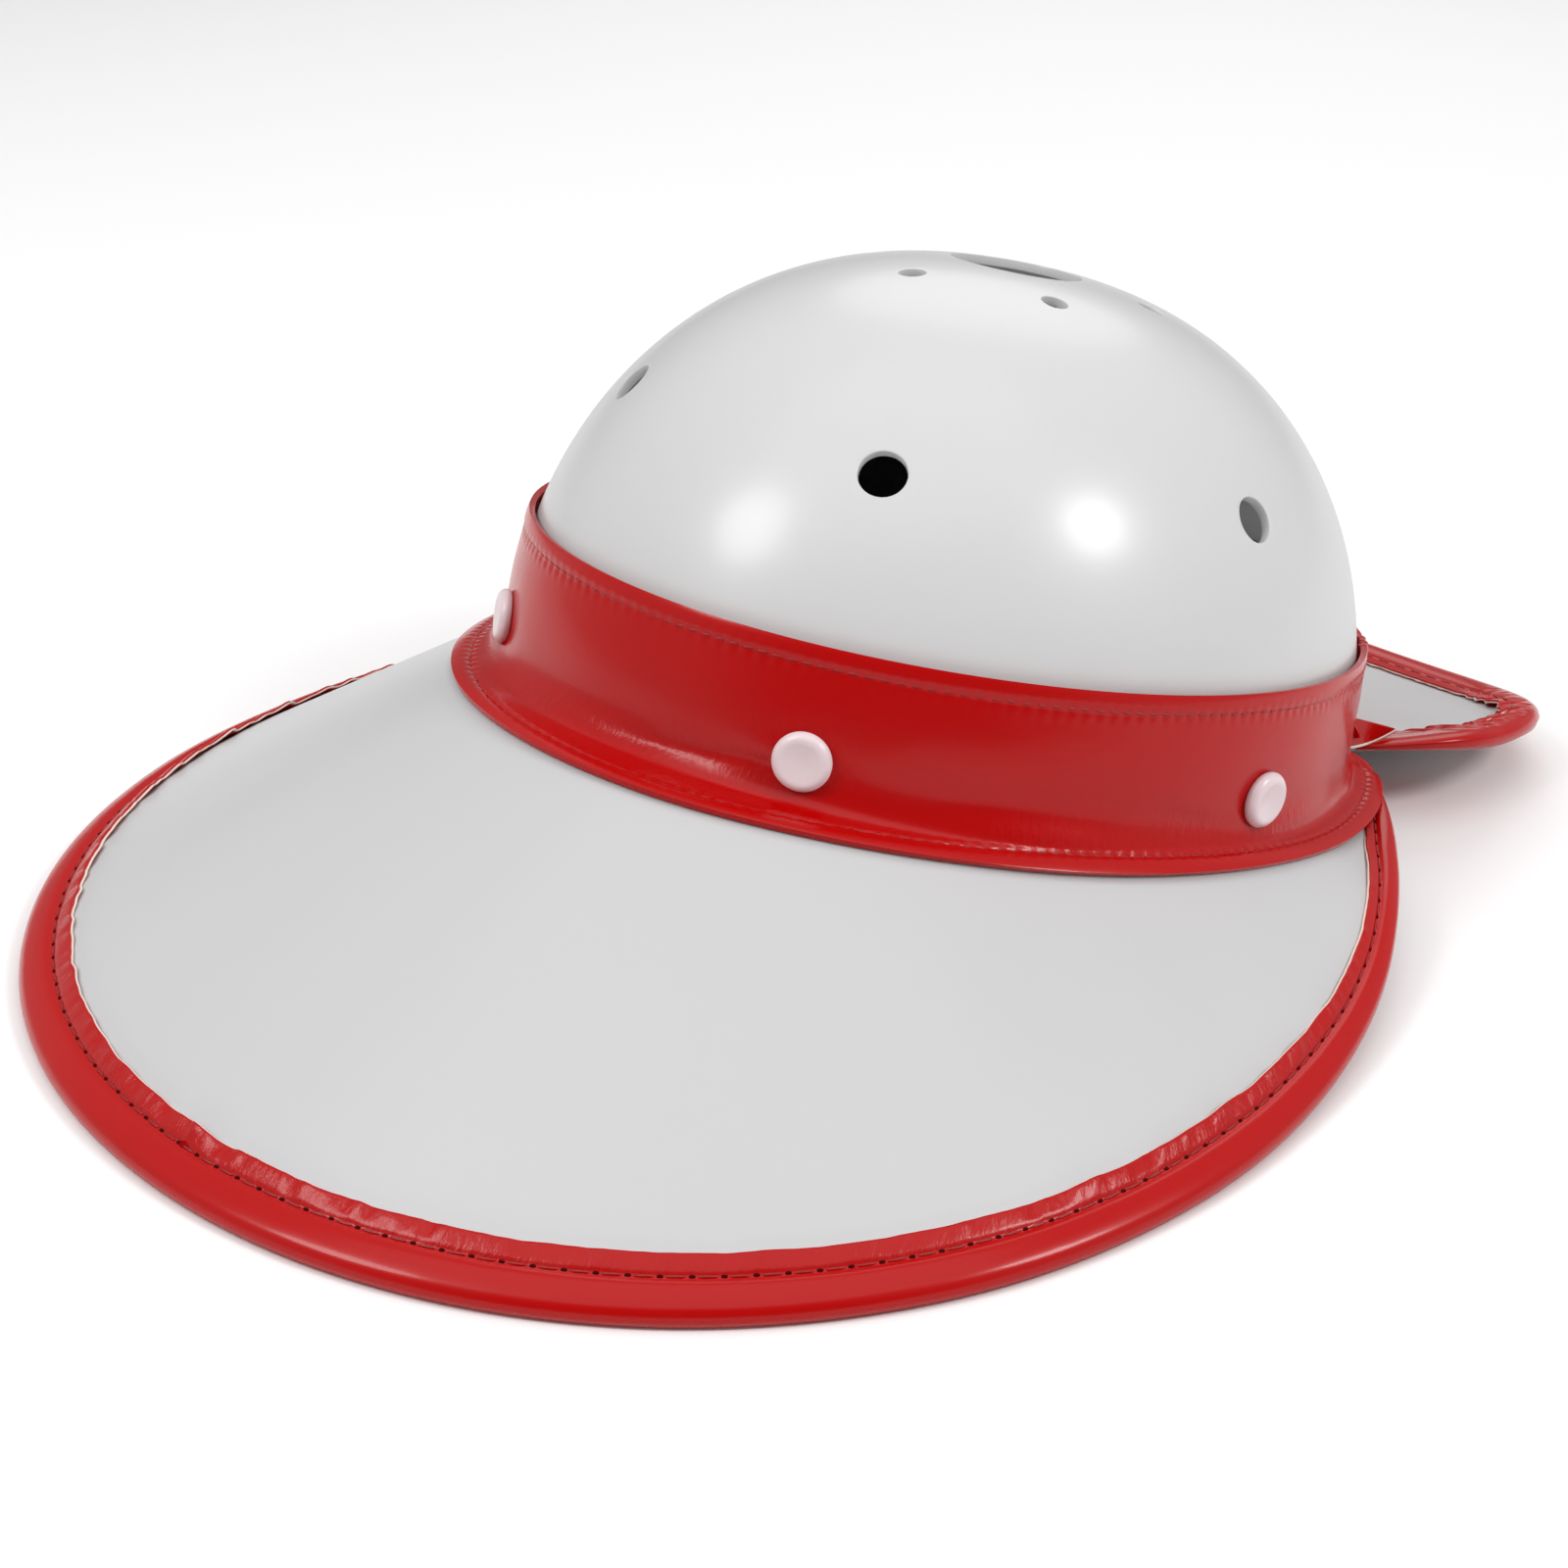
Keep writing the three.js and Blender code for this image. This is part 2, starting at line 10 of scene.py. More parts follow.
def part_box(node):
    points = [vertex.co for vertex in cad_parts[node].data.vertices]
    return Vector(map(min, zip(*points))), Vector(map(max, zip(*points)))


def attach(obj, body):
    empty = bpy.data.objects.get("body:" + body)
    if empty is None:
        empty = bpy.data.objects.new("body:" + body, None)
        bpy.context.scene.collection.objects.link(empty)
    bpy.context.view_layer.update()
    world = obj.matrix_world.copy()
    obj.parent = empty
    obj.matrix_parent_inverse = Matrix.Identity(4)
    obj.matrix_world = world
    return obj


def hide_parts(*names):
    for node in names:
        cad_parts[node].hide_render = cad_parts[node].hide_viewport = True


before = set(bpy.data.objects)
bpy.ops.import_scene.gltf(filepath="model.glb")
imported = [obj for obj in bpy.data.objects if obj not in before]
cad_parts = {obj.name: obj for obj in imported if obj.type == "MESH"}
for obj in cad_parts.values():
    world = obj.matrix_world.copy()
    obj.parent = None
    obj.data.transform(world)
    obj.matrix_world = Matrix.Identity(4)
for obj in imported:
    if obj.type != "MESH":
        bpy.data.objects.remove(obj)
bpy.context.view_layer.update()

bl_info = {
    "name": "Wide brim golf hat",
    "version": (1, 0, 0),
    "blender": (4, 2, 0),
    "location": "View3D > Sidebar > Golf Hat",
    "description": "Dresses a plastic dome hat with a snapped vinyl band, a bound brim and a bound flap",
    "category": "Object",
}

# Lengths are metres. Crown coordinates have their origin on the dome's axis, level with the snaps,
# and angles round the hat are degrees from the front.
MM = 0.001
GAP = 0.4 * MM
SNAP_ANGLES = (-150, -90, -30, 30, 90, 150)

# The dome's grid: columns round it, rows up its skirt and from there to the top opening, half the
# rows and columns of the block that a large or a small vent takes up, and rings from block to vent.
DOME_COLUMNS = 288
SKIRT_ROWS = 8
DOME_ROWS = 76
LARGE_BLOCK = (4, 5)
SMALL_BLOCK = (3, 6)
VENT_RINGS = 4

# How finely the other pieces are divided, along their length and across it.
HEADBAND_GRID = (240, 24)
FRONT_COLUMNS = 721
BACK_COLUMNS = 300
UPRIGHT_ROWS = 26
BEND_ROWS = 12
FLARE_ROWS = 14
END_SEAM_COLUMN = 7
END_SEAM_ROWS = slice(4, 28)
GUSSET_GRID = (40, 24)
BRIM_GRID = (601, 44)
TUCK_ROWS = 5
FLAP_GRID = (241, 61)
BINDING_COLUMNS = 1001
BINDING_TOP = 34
BINDING_UNDER = 12
SNAP_COLUMNS = 64
STITCH_GRID = (7, 8)

# Steps and reach of the search for the dome's surface, points of the flap's outline before they
# are spaced evenly, and how far round its outline the flap's sheet goes, in degrees.
SEARCH_STEPS = 8
SEARCH_REACH = 0.01 * MM
OUTLINE_POINTS = 6001
FLAP_TURN = 87

# Rounding of each kind of rim, and the angle between faces from which an edge is rounded.
HARD_RIM = 0.5 * MM
SHEET_RIM = 0.4 * MM
FOAM_RIM = 0.9 * MM
RIM_ANGLE = 48

# Relief of the band: the pull of each stitch, the dent round a snap, its drape, and its lower hem
# as a share of the upper one.
STITCH_TUG = 0.24 * MM
SNAP_DENT = 0.3 * MM
BAND_DRAPE = 0.25 * MM
LOWER_HEM = 0.95

# Relief of a binding: the groove and the flattening along its seam, its bulge, the hollow of its
# lower side, and how many times longer its width is than the nose's round.
SEAM_GROOVE = 0.35 * MM
SEAM_FLAT = 0.25 * MM
BINDING_BULGE = 0.75 * MM
BINDING_HOLLOW = 0.45 * MM
NOSE_STEEPNESS = 4.6

# The pale backing past a binding's cut edge: how deep it lies under the edge, its thickness and
# how far it reaches back under the vinyl.
BACKING_DEPTH = 0.75 * MM
BACKING_WALL = 0.3 * MM
BACKING_UNDER = 1.2 * MM

# The gussets' wall, the bow of their face and the sag of their lower edge.
GUSSET_WALL = 0.8 * MM
GUSSET_BOW = 1.2 * MM
GUSSET_SAG = 0.8 * MM

# Width and height of stitches, and the size of each dark mark that paints the shade inside the needle
# holes.
THREAD = 0.6 * MM
HOLE_SHADE_SIZE = (1.2 * MM, 0.8 * MM, 0.5 * MM)

# Where the brim's ends are tucked under the flare, its binding narrows and its fold flattens, as
# angles from and to, and where the flap's fold flattens, along its edge from the rear.
BRIM_TUCK = (98, 120)
BRIM_NARROWING = (62, 106)
BRIM_FLATTENING = (105, 125)
FLAP_FLATTENING = (125 * MM, 165 * MM)
FLATTENED = 0.45

# Gentle irregular waves: wavelengths, in metres along a seam or radians round the brim, and
# phases in radians.
WAVES = {
    "band drape": ((0.046, 0.031, 0.073), (0.4, 2.1, 4.0)),
    "brim ripple": ((0.42, 0.63, 0.29), (1.0, 0.2, 3.0)),
    "brim ruffle": ((0.0072, 0.0111, 0.0178), (0.2, 1.7, 3.1)),
    "brim pucker": ((0.0061, 0.0097, 0.0152, 0.0043), (0.3, 1.9, 4.4, 2.6)),
    "brim swell": ((0.0235, 0.0315, 0.0172), (0.7, 2.9, 4.6)),
    "brim cut edge": ((0.021, 0.0135, 0.034), (0.9, 2.2, 5.0)),
    "flap gather": ((0.0058, 0.0091, 0.0047), (0.4, 1.1, 3.0)),
    "flap cut edge": ((0.0068, 0.0112, 0.019), (0.1, 1.2, 3.7)),
}

# Round of the front band's lower corners, in degrees round the hat, and the pitch and the height
# of the flap's pleats.
ROUNDED_CORNER = 5.5
PLEAT = 7.8 * MM
PLEAT_HEIGHT = 2.2 * MM

# Half of a snap cap's section from its middle below to its middle above: shares of its radius and
# its height, with a dished top.
SNAP_SECTION = ((0, -0.2), (0.92, -0.2), (1, 0.2), (1, 0.5), (0.9, 0.85), (0.74, 1), (0.5, 0.86),
                (0.2, 0.74), (0, 0.72))

# The front band's lower edge and the brim's outer edge, by angle. flare, drop and turn are shares of
# the flare's overhang, its drop and the band's straight part, reach is one of the brim's overhang,
# and lift is one of the height from the floor to the flare.
FRONT_EDGE = {
    "angle": (0, 15, 30, 45, 60, 75, 90, 105, 120, 134),
    "flare": (1.0, 0.93, 0.75, 0.57, 0.48, 0.48, 0.57, 0.68, 0.7, 0.65),
    "drop": (1.0, 1.07, 1.17, 1.36, 1.53, 1.53, 1.36, 1.06, 0.58, 0.08),
    "turn": (1.0, 1.0, 1.0, 1.0, 1.0, 1.0, 1.0, 1.0, 0.83, 0.58),
    "reach": (1.0, 0.977, 0.901, 0.774, 0.611, 0.45, 0.31, 0.188, 0.105, 0.055),
    "lift": (0.0, 0.0, 0.0, 0.0, 0.0, 0.04, 0.21, 0.55, 0.85, 0.9),
}

# The back band's lower edge, by angle: how far out, and the heights of its turn and its edge.
BACK_EDGE = {
    "angle": (134, 139, 143, 147, 164, 180),
    "out": (0.35, 0.3, 0.25, 0.15, 0.13, 0.13),
    "turn": (0.1, 0.0, -0.25, -0.6, -0.7, -0.7),
    "edge": (-0.3, -0.35, -0.6, -1.08, -1.09, -1.09),
}

# The gusset between the band's end and the flap's binding, in crown coordinates and millimetres:
# its upper and lower corner on the band, and its tip on the binding.
GUSSET = {"upper": (70.6, 68.3, 2.4), "lower": (70.9, 68.6, -5.6), "tip": (72.3, 89.9, -2.1)}

# Soft folds pressed into the front band: where their middle is, as an angle and millimetres below
# the top edge, how long, wide and high they are in millimetres, and how they slant in degrees.
FOLDS = {
    "angle": (-118, -92, -62, -34, -8, 14, 27, 58, 77, 98, 117, 126),
    "below": (30, 27, 31, 29, 31.5, 28, 24, 31, 27, 30, 24, 17),
    "length": (20, 26, 24, 14, 26, 20, 9, 22, 12, 15, 14, 10),
    "width": (3.0, 2.6, 3.2, 2.4, 3.0, 2.2, 3.0, 3.0, 2.6, 2.4, 4.0, 4.0),
    "height": (0.7, -0.6, 0.8, 0.7, 0.9, -0.6, 0.5, 0.9, -0.6, 0.6, 0.6, -0.6),
    "slant": (4, -3, 0, 8, -3, -7, 10, 2, 8, -4, 50, 65),
}


def linear(hex_code):
    """An sRGB hex colour as linear red, green and blue."""
    values = [int(hex_code[i:i + 2], 16) / 255 for i in (1, 3, 5)]
    return [v / 12.92 if v <= 0.04045 else ((v + 0.055) / 1.055) ** 2.4 for v in values]


def length_setting(name, description, millimetres):
    """A property that holds a length, kept in metres."""
    return FloatProperty(name=name, description=description, default=millimetres * MM, unit="LENGTH")


def angle_setting(name, description, degrees):
    """A property that holds an angle, kept in radians."""
    return FloatProperty(
        name=name, description=description, default=math.radians(degrees), subtype="ANGLE")


def number_setting(name, description, number):
    """A property that holds a share, a power or a strength."""
    return FloatProperty(name=name, description=description, default=number)


def color_setting(name, description, hex_code):
    """A property that holds a colour."""
    return FloatVectorProperty(
        name=name, description=description, default=linear(hex_code), subtype="COLOR")


class DomeSettings(bpy.types.PropertyGroup):
    """Sizes of the hard dome and the band inside it."""
    half_width: length_setting("Half width", "Dome axis to its side", 94)
    half_length: length_setting("Half length", "Dome axis to its front", 104)
    height: length_setting("Height", "Snap level to the closed dome's top", 91.5)
    wall: length_setting("Wall", "Dome wall", 2.2)
    skirt: length_setting("Skirt", "Snap level down to the rim", 16.5)
    lean: angle_setting("Lean", "How far the dome leans back", 12.5)
    stand: length_setting("Stand", "Floor to the snap level's middle", 42)
    rise_power: number_setting("Rise power", "Fullness of the profile", 1.94)
    plan_power: number_setting("Plan power", "Fullness near the top", 2.31)
    top_opening: length_setting("Top opening", "Diameter of the hole in the top", 30)
    large_vent: length_setting("Large vent", "Diameter of a side vent", 10.2)
    large_vent_height: length_setting("Large vent height", "Side vents above the snaps", 53.8)
    small_vent: length_setting("Small vent", "Diameter of a top vent", 6)
    small_vent_ring: length_setting("Small vent ring", "Dome axis to a top vent", 34)
    headband_wall: length_setting("Headband wall", "Foam thickness", 3)
    headband_top: length_setting("Headband top", "Foam above the snaps", 29.5)
    headband_bottom: length_setting("Headband bottom", "Foam below the snaps", 12)


class BandSettings(bpy.types.PropertyGroup):
    """Sizes of the red band, its seams and the snaps."""
    wall: length_setting("Wall", "Band thickness", 1.4)
    top: length_setting("Top", "Band's top edge above the snaps", 21)
    straight: length_setting("Straight", "Upright part below the snaps", 9.2)
    end: angle_setting("End", "Front to the band's end seam", 134)
    stand_off: length_setting("Stand-off", "Top edge off the dome", 0.6)
    overhang: length_setting("Flare overhang", "Flare's reach at the front", 16.4)
    flare_drop: length_setting("Flare drop", "Flare's fall at the front", 3.6)
    back_overhang: length_setting("Back overhang", "Spread of the back band's ends", 12)
    turn_drop: length_setting("Turn drop", "Depth of the bend into the flare", 1.8)
    turn_radius: length_setting("Turn radius", "Softness of that bend", 5.5)
    hem: length_setting("Hem", "Edge to the seam", 4.3)
    puff: length_setting("Puff", "How far a hem swells", 0.35)
    pitch: length_setting("Stitch pitch", "Distance between stitches", 3.2)
    snap_diameter: length_setting("Snap diameter", "Snap cap", 12.4)
    snap_height: length_setting("Snap height", "Snap cap over the band", 2.6)
    snap_level: length_setting("Snap level", "Snap caps against the snap level", -2.1)


class SheetSettings(bpy.types.PropertyGroup):
    """Sizes of the white brim, the white flap and their folded bindings."""
    wall: length_setting("Wall", "Sheet thickness", 1.8)
    brim_overhang: length_setting("Brim overhang", "Dome to the brim's front edge", 117.3)
    brim_end: angle_setting("Brim end", "Front to the brim's end", 129)
    brim_root: length_setting("Brim root", "Brim's root below the band's straight part", 4.8)
    brim_slope: angle_setting("Brim slope", "Slope at the front edge", 28)
    ripple: length_setting("Ripple", "Waves of the brim between its edges", 0.4)
    flap_inset: length_setting("Flap inset", "Flap's side inside the dome's side", 3.7)
    flap_set_back: length_setting("Flap set back", "Flap's widest place behind the dome", 8.2)
    flap_rear: length_setting("Flap rear", "Depth behind its widest place", 54.7)
    flap_front: length_setting("Flap front", "Depth before its widest place", 46.9)
    flap_power: number_setting("Flap corner power", "Squareness", 2.5)
    flap_end: angle_setting("Flap end", "Turn of the outline to the band", 133)
    flap_root: length_setting("Flap root", "Flap's root below the band's straight part", 3.8)
    flap_slope: angle_setting("Flap slope", "Slope at the rear edge", 9)
    flap_curl: length_setting("Flap curl", "Rise of the flap's sides", 12)
    flap_end_lift: length_setting("Flap end lift", "Rise of the flap's ends to the band", 7.5)
    flap_end_width: number_setting("Flap end width", "How much wider its binding is at the band", 0.9)
    flap_corner: length_setting("Flap corner", "Middle of the rear edge to a corner", 102)
    flap_gathered: number_setting("Flap gathered", "How much narrower its binding is there", 0.3)
    binding: length_setting("Binding", "Width of the folded vinyl", 13.5)
    binding_wall: length_setting("Binding wall", "Vinyl thickness", 1)
    nose: length_setting("Nose", "Fold beyond the sheet's edge", 1.9)
    end_narrow: number_setting("End narrow", "How much narrower the brim's binding is at its ends", 0.38)
    end_share: number_setting("End share", "Binding's share of the brim at its ends", 0.6)
    press: length_setting("Floor press", "Flattening where it rests", 1.1)
    seam: number_setting("Seam", "Nose to the seam, as a share of the width", 0.66)
    pitch: length_setting("Stitch pitch", "Distance between stitches", 5.6)


class FinishSettings(bpy.types.PropertyGroup):
    """Colours of the materials."""
    dome: color_setting("Dome", "Moulded plastic", "#e4e4e4")
    sheet: color_setting("Sheet", "White vinyl sheet", "#c2c2c3")
    vinyl: color_setting("Vinyl", "Red vinyl", "#ae0000")
    backing: color_setting("Backing", "Cut edge of the vinyl", "#e6d2c6")
    # Partly painted shade: the thread is red like the vinyl, and this colour is darker to paint the shade
    # in the seam's groove at each stitch.
    thread: color_setting("Thread", "Sewing thread", "#920606")
    # Painted shade: the dark marks on the seams take this colour in place of the shade inside the needle
    # holes.
    hole: color_setting("Needle hole", "Shade in the holes", "#3a0203")
    snap: color_setting("Snap", "Snap caps", "#e0cfd2")
    foam: color_setting("Foam", "Headband", "#111111")
    floor: color_setting("Floor", "Studio floor", "#f4f4f4")


class StageSettings(bpy.types.PropertyGroup):
    """Camera and light."""
    azimuth: angle_setting("Azimuth", "Camera round the hat", 46.27)
    elevation: angle_setting("Elevation", "Camera over the horizon", 26.86)
    roll: angle_setting("Roll", "Camera's tilt", 1.33)
    distance: length_setting("Distance", "Camera to its target", 593.9)
    target_side: length_setting("Target side", "Target along the picture", -35.4)
    target_height: length_setting("Target height", "Target over the floor", 5.5)
    lens: FloatProperty(
        name="Lens", description="Focal length in millimetres", default=55.96, unit="CAMERA")
    floor: length_setting("Floor", "Side of the floor", 12000)
    daylight: number_setting("Daylight", "Strength of the pale room", 0.62)
    shade: number_setting("Shade", "Its strength before and behind the camera", 0.18)
    segments: IntProperty(name="Segments", description="Steps of an edge's rounding", default=3)


def axis_y(scene):
    """Y of the dome's axis at the snap level: a front snap cap and its twin behind are level with
    each other in crown coordinates, so their middle is on the axis, moved by the lean."""
    middles = []
    for number in (3, 6):
        low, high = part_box(f"snap_cap_{number}")
        middles.append((low[1] + high[1]) / 2)
    return sum(middles) / 2 - math.sin(scene.hat_dome.lean) * scene.hat_band.snap_level


def to_row(points, dome, shift):
    """Crown coordinates to the row frame: turned back about X by the lean, raised and shifted."""
    x, y, z = np.moveaxis(points, -1, 0)
    c, s = math.cos(dome.lean), math.sin(dome.lean)
    return np.stack((x, c * y + s * z + shift, dome.stand - s * y + c * z), -1)


def column(table, name, angle):
    """A table's column at an angle either side of the middle: a cubic through the rows whose
    slopes are those between each row's neighbours, level at the first row."""
    at = np.array(table["angle"], float)
    value = np.array(table[name], float)
    slope = np.zeros(len(at))
    slope[1:-1] = (value[2:] - value[:-2]) / (at[2:] - at[:-2])
    slope[-1] = (value[-1] - value[-2]) / (at[-1] - at[-2])
    side = np.abs(angle)
    i = np.clip(np.searchsorted(at, side, side="right") - 1, 0, len(at) - 2)
    span = at[i + 1] - at[i]
    t = (side - at[i]) / span
    ease = t * t * (3 - 2 * t)
    steer = slope[i] * (1 - t) - slope[i + 1] * t
    return value[i] * (1 - ease) + value[i + 1] * ease + span * t * (1 - t) * steer


def around(angle, out, z):
    """Points at a distance from the Z axis, at an angle from the front."""
    turn = np.radians(angle)
    return np.stack(np.broadcast_arrays(out * np.sin(turn), -out * np.cos(turn), z), -1)


def closed_in(dome, z):
    """How far the dome has closed in at a height: (1 - (z / height)^rise)^(1 / plan)."""
    rise = np.clip(z / dome.height, 0, 1)
    return (1 - rise ** dome.rise_power) ** (1 / dome.plan_power)


def crown_radius(dome, angle, z):
    """Distance of the dome's outside from its axis: the ellipse's radius times closed_in."""
    turn = np.radians(angle)
    ellipse = np.hypot(np.sin(turn) / dome.half_width, np.cos(turn) / dome.half_length)
    return closed_in(dome, z) / ellipse


def unit(vectors):
    """Vectors brought to length 1."""
    return vectors / np.maximum(np.linalg.norm(vectors, axis=-1, keepdims=True), 1e-12)


def grid_normals(points, outside):
    """Normals of a grid from its slopes along and across, on the side that outside points to."""
    along = np.gradient(points, axis=0)
    across = np.gradient(points, axis=1)
    normals = unit(np.cross(along, across))
    return normals if (normals * outside).sum() > 0 else -normals


def run_lengths(points, axis=0):
    """Length walked along a grid's axis, from its start to each point."""
    steps = np.linalg.norm(np.diff(points, axis=axis), axis=-1)
    pad = [(0, 0)] * steps.ndim
    pad[axis] = (1, 0)
    return np.cumsum(np.pad(steps, pad), axis=axis)


def bell(distance, width):
    """A smooth bump: exp(-(distance / width)^2)."""
    return np.exp(-(distance / width) ** 2)


def step_up(value, start, end):
    """Eases from 0 to 1 between start and end: t^2 (3 - 2 t)."""
    t = np.clip((value - start) / (end - start), 0, 1)
    return t * t * (3 - 2 * t)


def waves(along, name):
    """A gentle irregular wave between about -1 and 1: the mean of sines of a few wavelengths."""
    lengths, phases = WAVES[name]
    total = sum(np.sin(2 * np.pi * along / length + phase) for length, phase in zip(lengths, phases))
    return total / len(lengths)


def grid_quads(rows, columns, ring_rows=False, ring_columns=False):
    """Corner numbers of a grid's quads, with its ends joined where it is a ring."""
    i = np.arange(rows if ring_rows else rows - 1)[:, None]
    j = np.arange(columns if ring_columns else columns - 1)[None, :]
    next_i = (i + 1) % rows
    next_j = (j + 1) % columns
    corners = (i * columns + j, i * columns + next_j, next_i * columns + next_j, next_i * columns + j)
    return np.stack(np.broadcast_arrays(*corners), -1).reshape(-1, 4)


def facing_out(points, quads, centre):
    """Quads turned over if they face the centre on the whole."""
    a, b, c, d = (points[quads[:, k]] for k in range(4))
    outward = np.cross(c - a, d - b) * (a + b + c + d - 4 * centre)
    return quads if outward.sum() > 0 else quads[:, ::-1]


def crown_middle(dome, shift):
    """The origin of the crown coordinates in the row frame."""
    return to_row(np.zeros(3), dome, shift)


def finish_of(maker):
    """The material that a function makes, made once with the scene's colours and then shared."""
    return bpy.data.materials.get(maker.__name__) or maker(bpy.context.scene.hat_finish)


def add_object(name, data):
    """An object with its data, linked to the scene."""
    thing = bpy.data.objects.new(name, data)
    bpy.context.scene.collection.objects.link(thing)
    return thing


def add_piece(name, points, quads, maker, node=None, centre=(0, 0, 0), ends=(), uv=None,
              crease=None):
    """A mesh from points and quads, welded where points meet, with its faces outwards, given its
    material, its slot, its body and the CAD node that it replaces."""
    points = np.asarray(points, float).reshape(-1, 3)
    quads = facing_out(points, np.asarray(quads), np.asarray(centre, float))
    mesh = bpy.data.meshes.new(name)
    mesh.from_pydata(points.tolist(), [], quads.tolist() + [list(end) for end in ends])
    if uv is not None:
        corners = np.zeros(len(mesh.loops), np.int32)
        mesh.loops.foreach_get("vertex_index", corners)
        layer = mesh.uv_layers.new(name="UVMap")
        layer.data.foreach_set("uv", np.asarray(uv, np.float32).reshape(-1, 2)[corners].ravel())
    if crease is not None:
        layer = mesh.attributes.new("crease", "FLOAT", "POINT")
        layer.data.foreach_set("value", np.asarray(crease, np.float32).ravel())
    work = bmesh.new()
    work.from_mesh(mesh)
    bmesh.ops.remove_doubles(work, verts=work.verts, dist=1e-7)
    if ends:
        bmesh.ops.recalc_face_normals(work, faces=work.faces)
    work.to_mesh(mesh)
    work.free()
    mesh.polygons.foreach_set("use_smooth", np.ones(len(mesh.polygons), bool))
    mesh.materials.append(finish_of(maker))
    piece = add_object(name, mesh)
    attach(piece, "root")
    if node:
        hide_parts(node)
    return piece


def add_loops(name, loops, maker, node=None, uv=None, crease=None):
    """A closed piece of closed loops, one after the other, with its two ends filled."""
    rows, count = loops.shape[:2]
    ends = (range(count), range((rows - 1) * count, rows * count))
    quads = grid_quads(rows, count, ring_columns=True)
    return add_piece(name, loops, quads, maker, node, ends=ends, uv=uv, crease=crease)


def thicken(piece, wall, rounding=0.0, offset=0.0):
    """Gives a single surface its wall, about its middle or, with offset -1, inwards, and rounds the
    sharp edges of the wall's rim."""
    solidify = piece.modifiers.new("Wall", "SOLIDIFY")
    solidify.thickness = wall
    solidify.offset = offset
    solidify.use_even_offset = True
    if rounding:
        bevel = piece.modifiers.new("Rounding", "BEVEL")
        bevel.width = rounding
        bevel.segments = bpy.context.scene.hat_stage.segments
        bevel.limit_method = "ANGLE"
        bevel.angle_limit = math.radians(RIM_ANGLE)


def sampled(path, at):
    """Values of a path's columns at lengths along it."""
    along, values = path
    return np.stack([np.interp(at, along, values[:, k]) for k in range(values.shape[1])], -1)


def add_stitches(name, line, up, pitch, size, maker, start=0.5):
    """Stitches, or dark marks that paint the shade inside needle holes, along a seam, joined: ellipsoids
    squared off along their length, x = length / 2 sin t, r = cos(t)^0.6, one every pitch from start
    pitches on, each turned along the line with its height along up. size is their length, width and
    height."""
    along = run_lengths(line)
    at = np.arange(pitch * start, along[-1] - pitch / 2, pitch)
    centres = sampled((along, line), at)
    forward = unit(sampled((along, line), at + pitch / 3) - sampled((along, line), at - pitch / 3))
    upward = unit(sampled((along, up), at))
    sideways = unit(np.cross(upward, forward))
    rings, spokes = STITCH_GRID
    t = np.linspace(-np.pi / 2, np.pi / 2, rings)[:, None]
    turn = 2 * np.pi * np.arange(spokes)[None, :] / spokes
    radius = np.cos(t) ** 0.6
    ball = np.broadcast_arrays(np.sin(t), radius * np.cos(turn), radius * np.sin(turn))
    template = np.stack(ball, -1).reshape(-1, 3) * np.array(size) / 2
    frames = np.stack((forward, sideways, upward), 1)
    points = np.einsum("sk,nkc->nsc", template, frames) + centres[:, None, :]
    quads = facing_out(points[0], grid_quads(rings, spokes, ring_columns=True), centres[0])
    shifts = (np.arange(len(at)) * len(template))[:, None, None]
    add_piece(name, points, (quads + shifts).reshape(-1, 4), maker)


def dome_profile(dome, turn, t):
    """Dome surface at the ellipse's angle and the profile's turn t, 0 at the snap level: height
    h sin(t)^(2 / rise) and closing cos(t)^(2 / plan)."""
    share = np.cos(t) ** (2 / dome.plan_power)
    z = dome.height * np.sin(t) ** (2 / dome.rise_power)
    x = dome.half_width * share * np.sin(turn)
    y = -dome.half_length * share * np.cos(turn)
    return np.stack((x, y, z), -1)


def dome_value(dome, points):
    """Zero on the dome, less inside: plan radius^plan + (z / height)^rise - 1."""
    plan = np.hypot(points[..., 0] / dome.half_width, points[..., 1] / dome.half_length)
    rise = np.clip(points[..., 2] / dome.height, 0, None)
    return plan ** dome.plan_power + rise ** dome.rise_power - 1


def dropped_on_dome(dome, points, direction):
    """Points moved along a direction onto the dome, by Newton steps."""
    for _ in range(SEARCH_STEPS):
        value = dome_value(dome, points)
        slope = (dome_value(dome, points + SEARCH_REACH * direction) - value) / SEARCH_REACH
        points = points - (value / slope)[..., None] * direction
    return points


def dome_point(dome, angle, z, offset):
    """A point of the dome at the ellipse's angle and a height, moved along its normal, and that
    normal: the gradient of dome_value."""
    turn = math.radians(angle)
    share = float(closed_in(dome, np.array(z)))
    x = dome.half_width * share * math.sin(turn)
    y = -dome.half_length * share * math.cos(turn)
    rise = max(z, 0) / dome.height
    closing = dome.rise_power / dome.plan_power / dome.height * rise ** (dome.rise_power - 1)
    closing *= share ** (2 - dome.plan_power)
    normal = unit(np.array((x / dome.half_width ** 2, y / dome.half_length ** 2, closing)))
    return np.array((x, y, z)) + offset * normal, normal


def block_outline(row, column_at, rows, columns, count):
    """Grid numbers round a block of cells, once round its outline."""
    right = np.arange(-columns, columns)
    rise = np.arange(-rows, rows)
    i = np.concatenate((np.full(2 * columns, -rows), rise, np.full(2 * columns, rows), -rise))
    j = np.concatenate((right, np.full(2 * rows, columns), -right, np.full(2 * rows, -columns)))
    return (row + i) * count + (column_at + j) % count


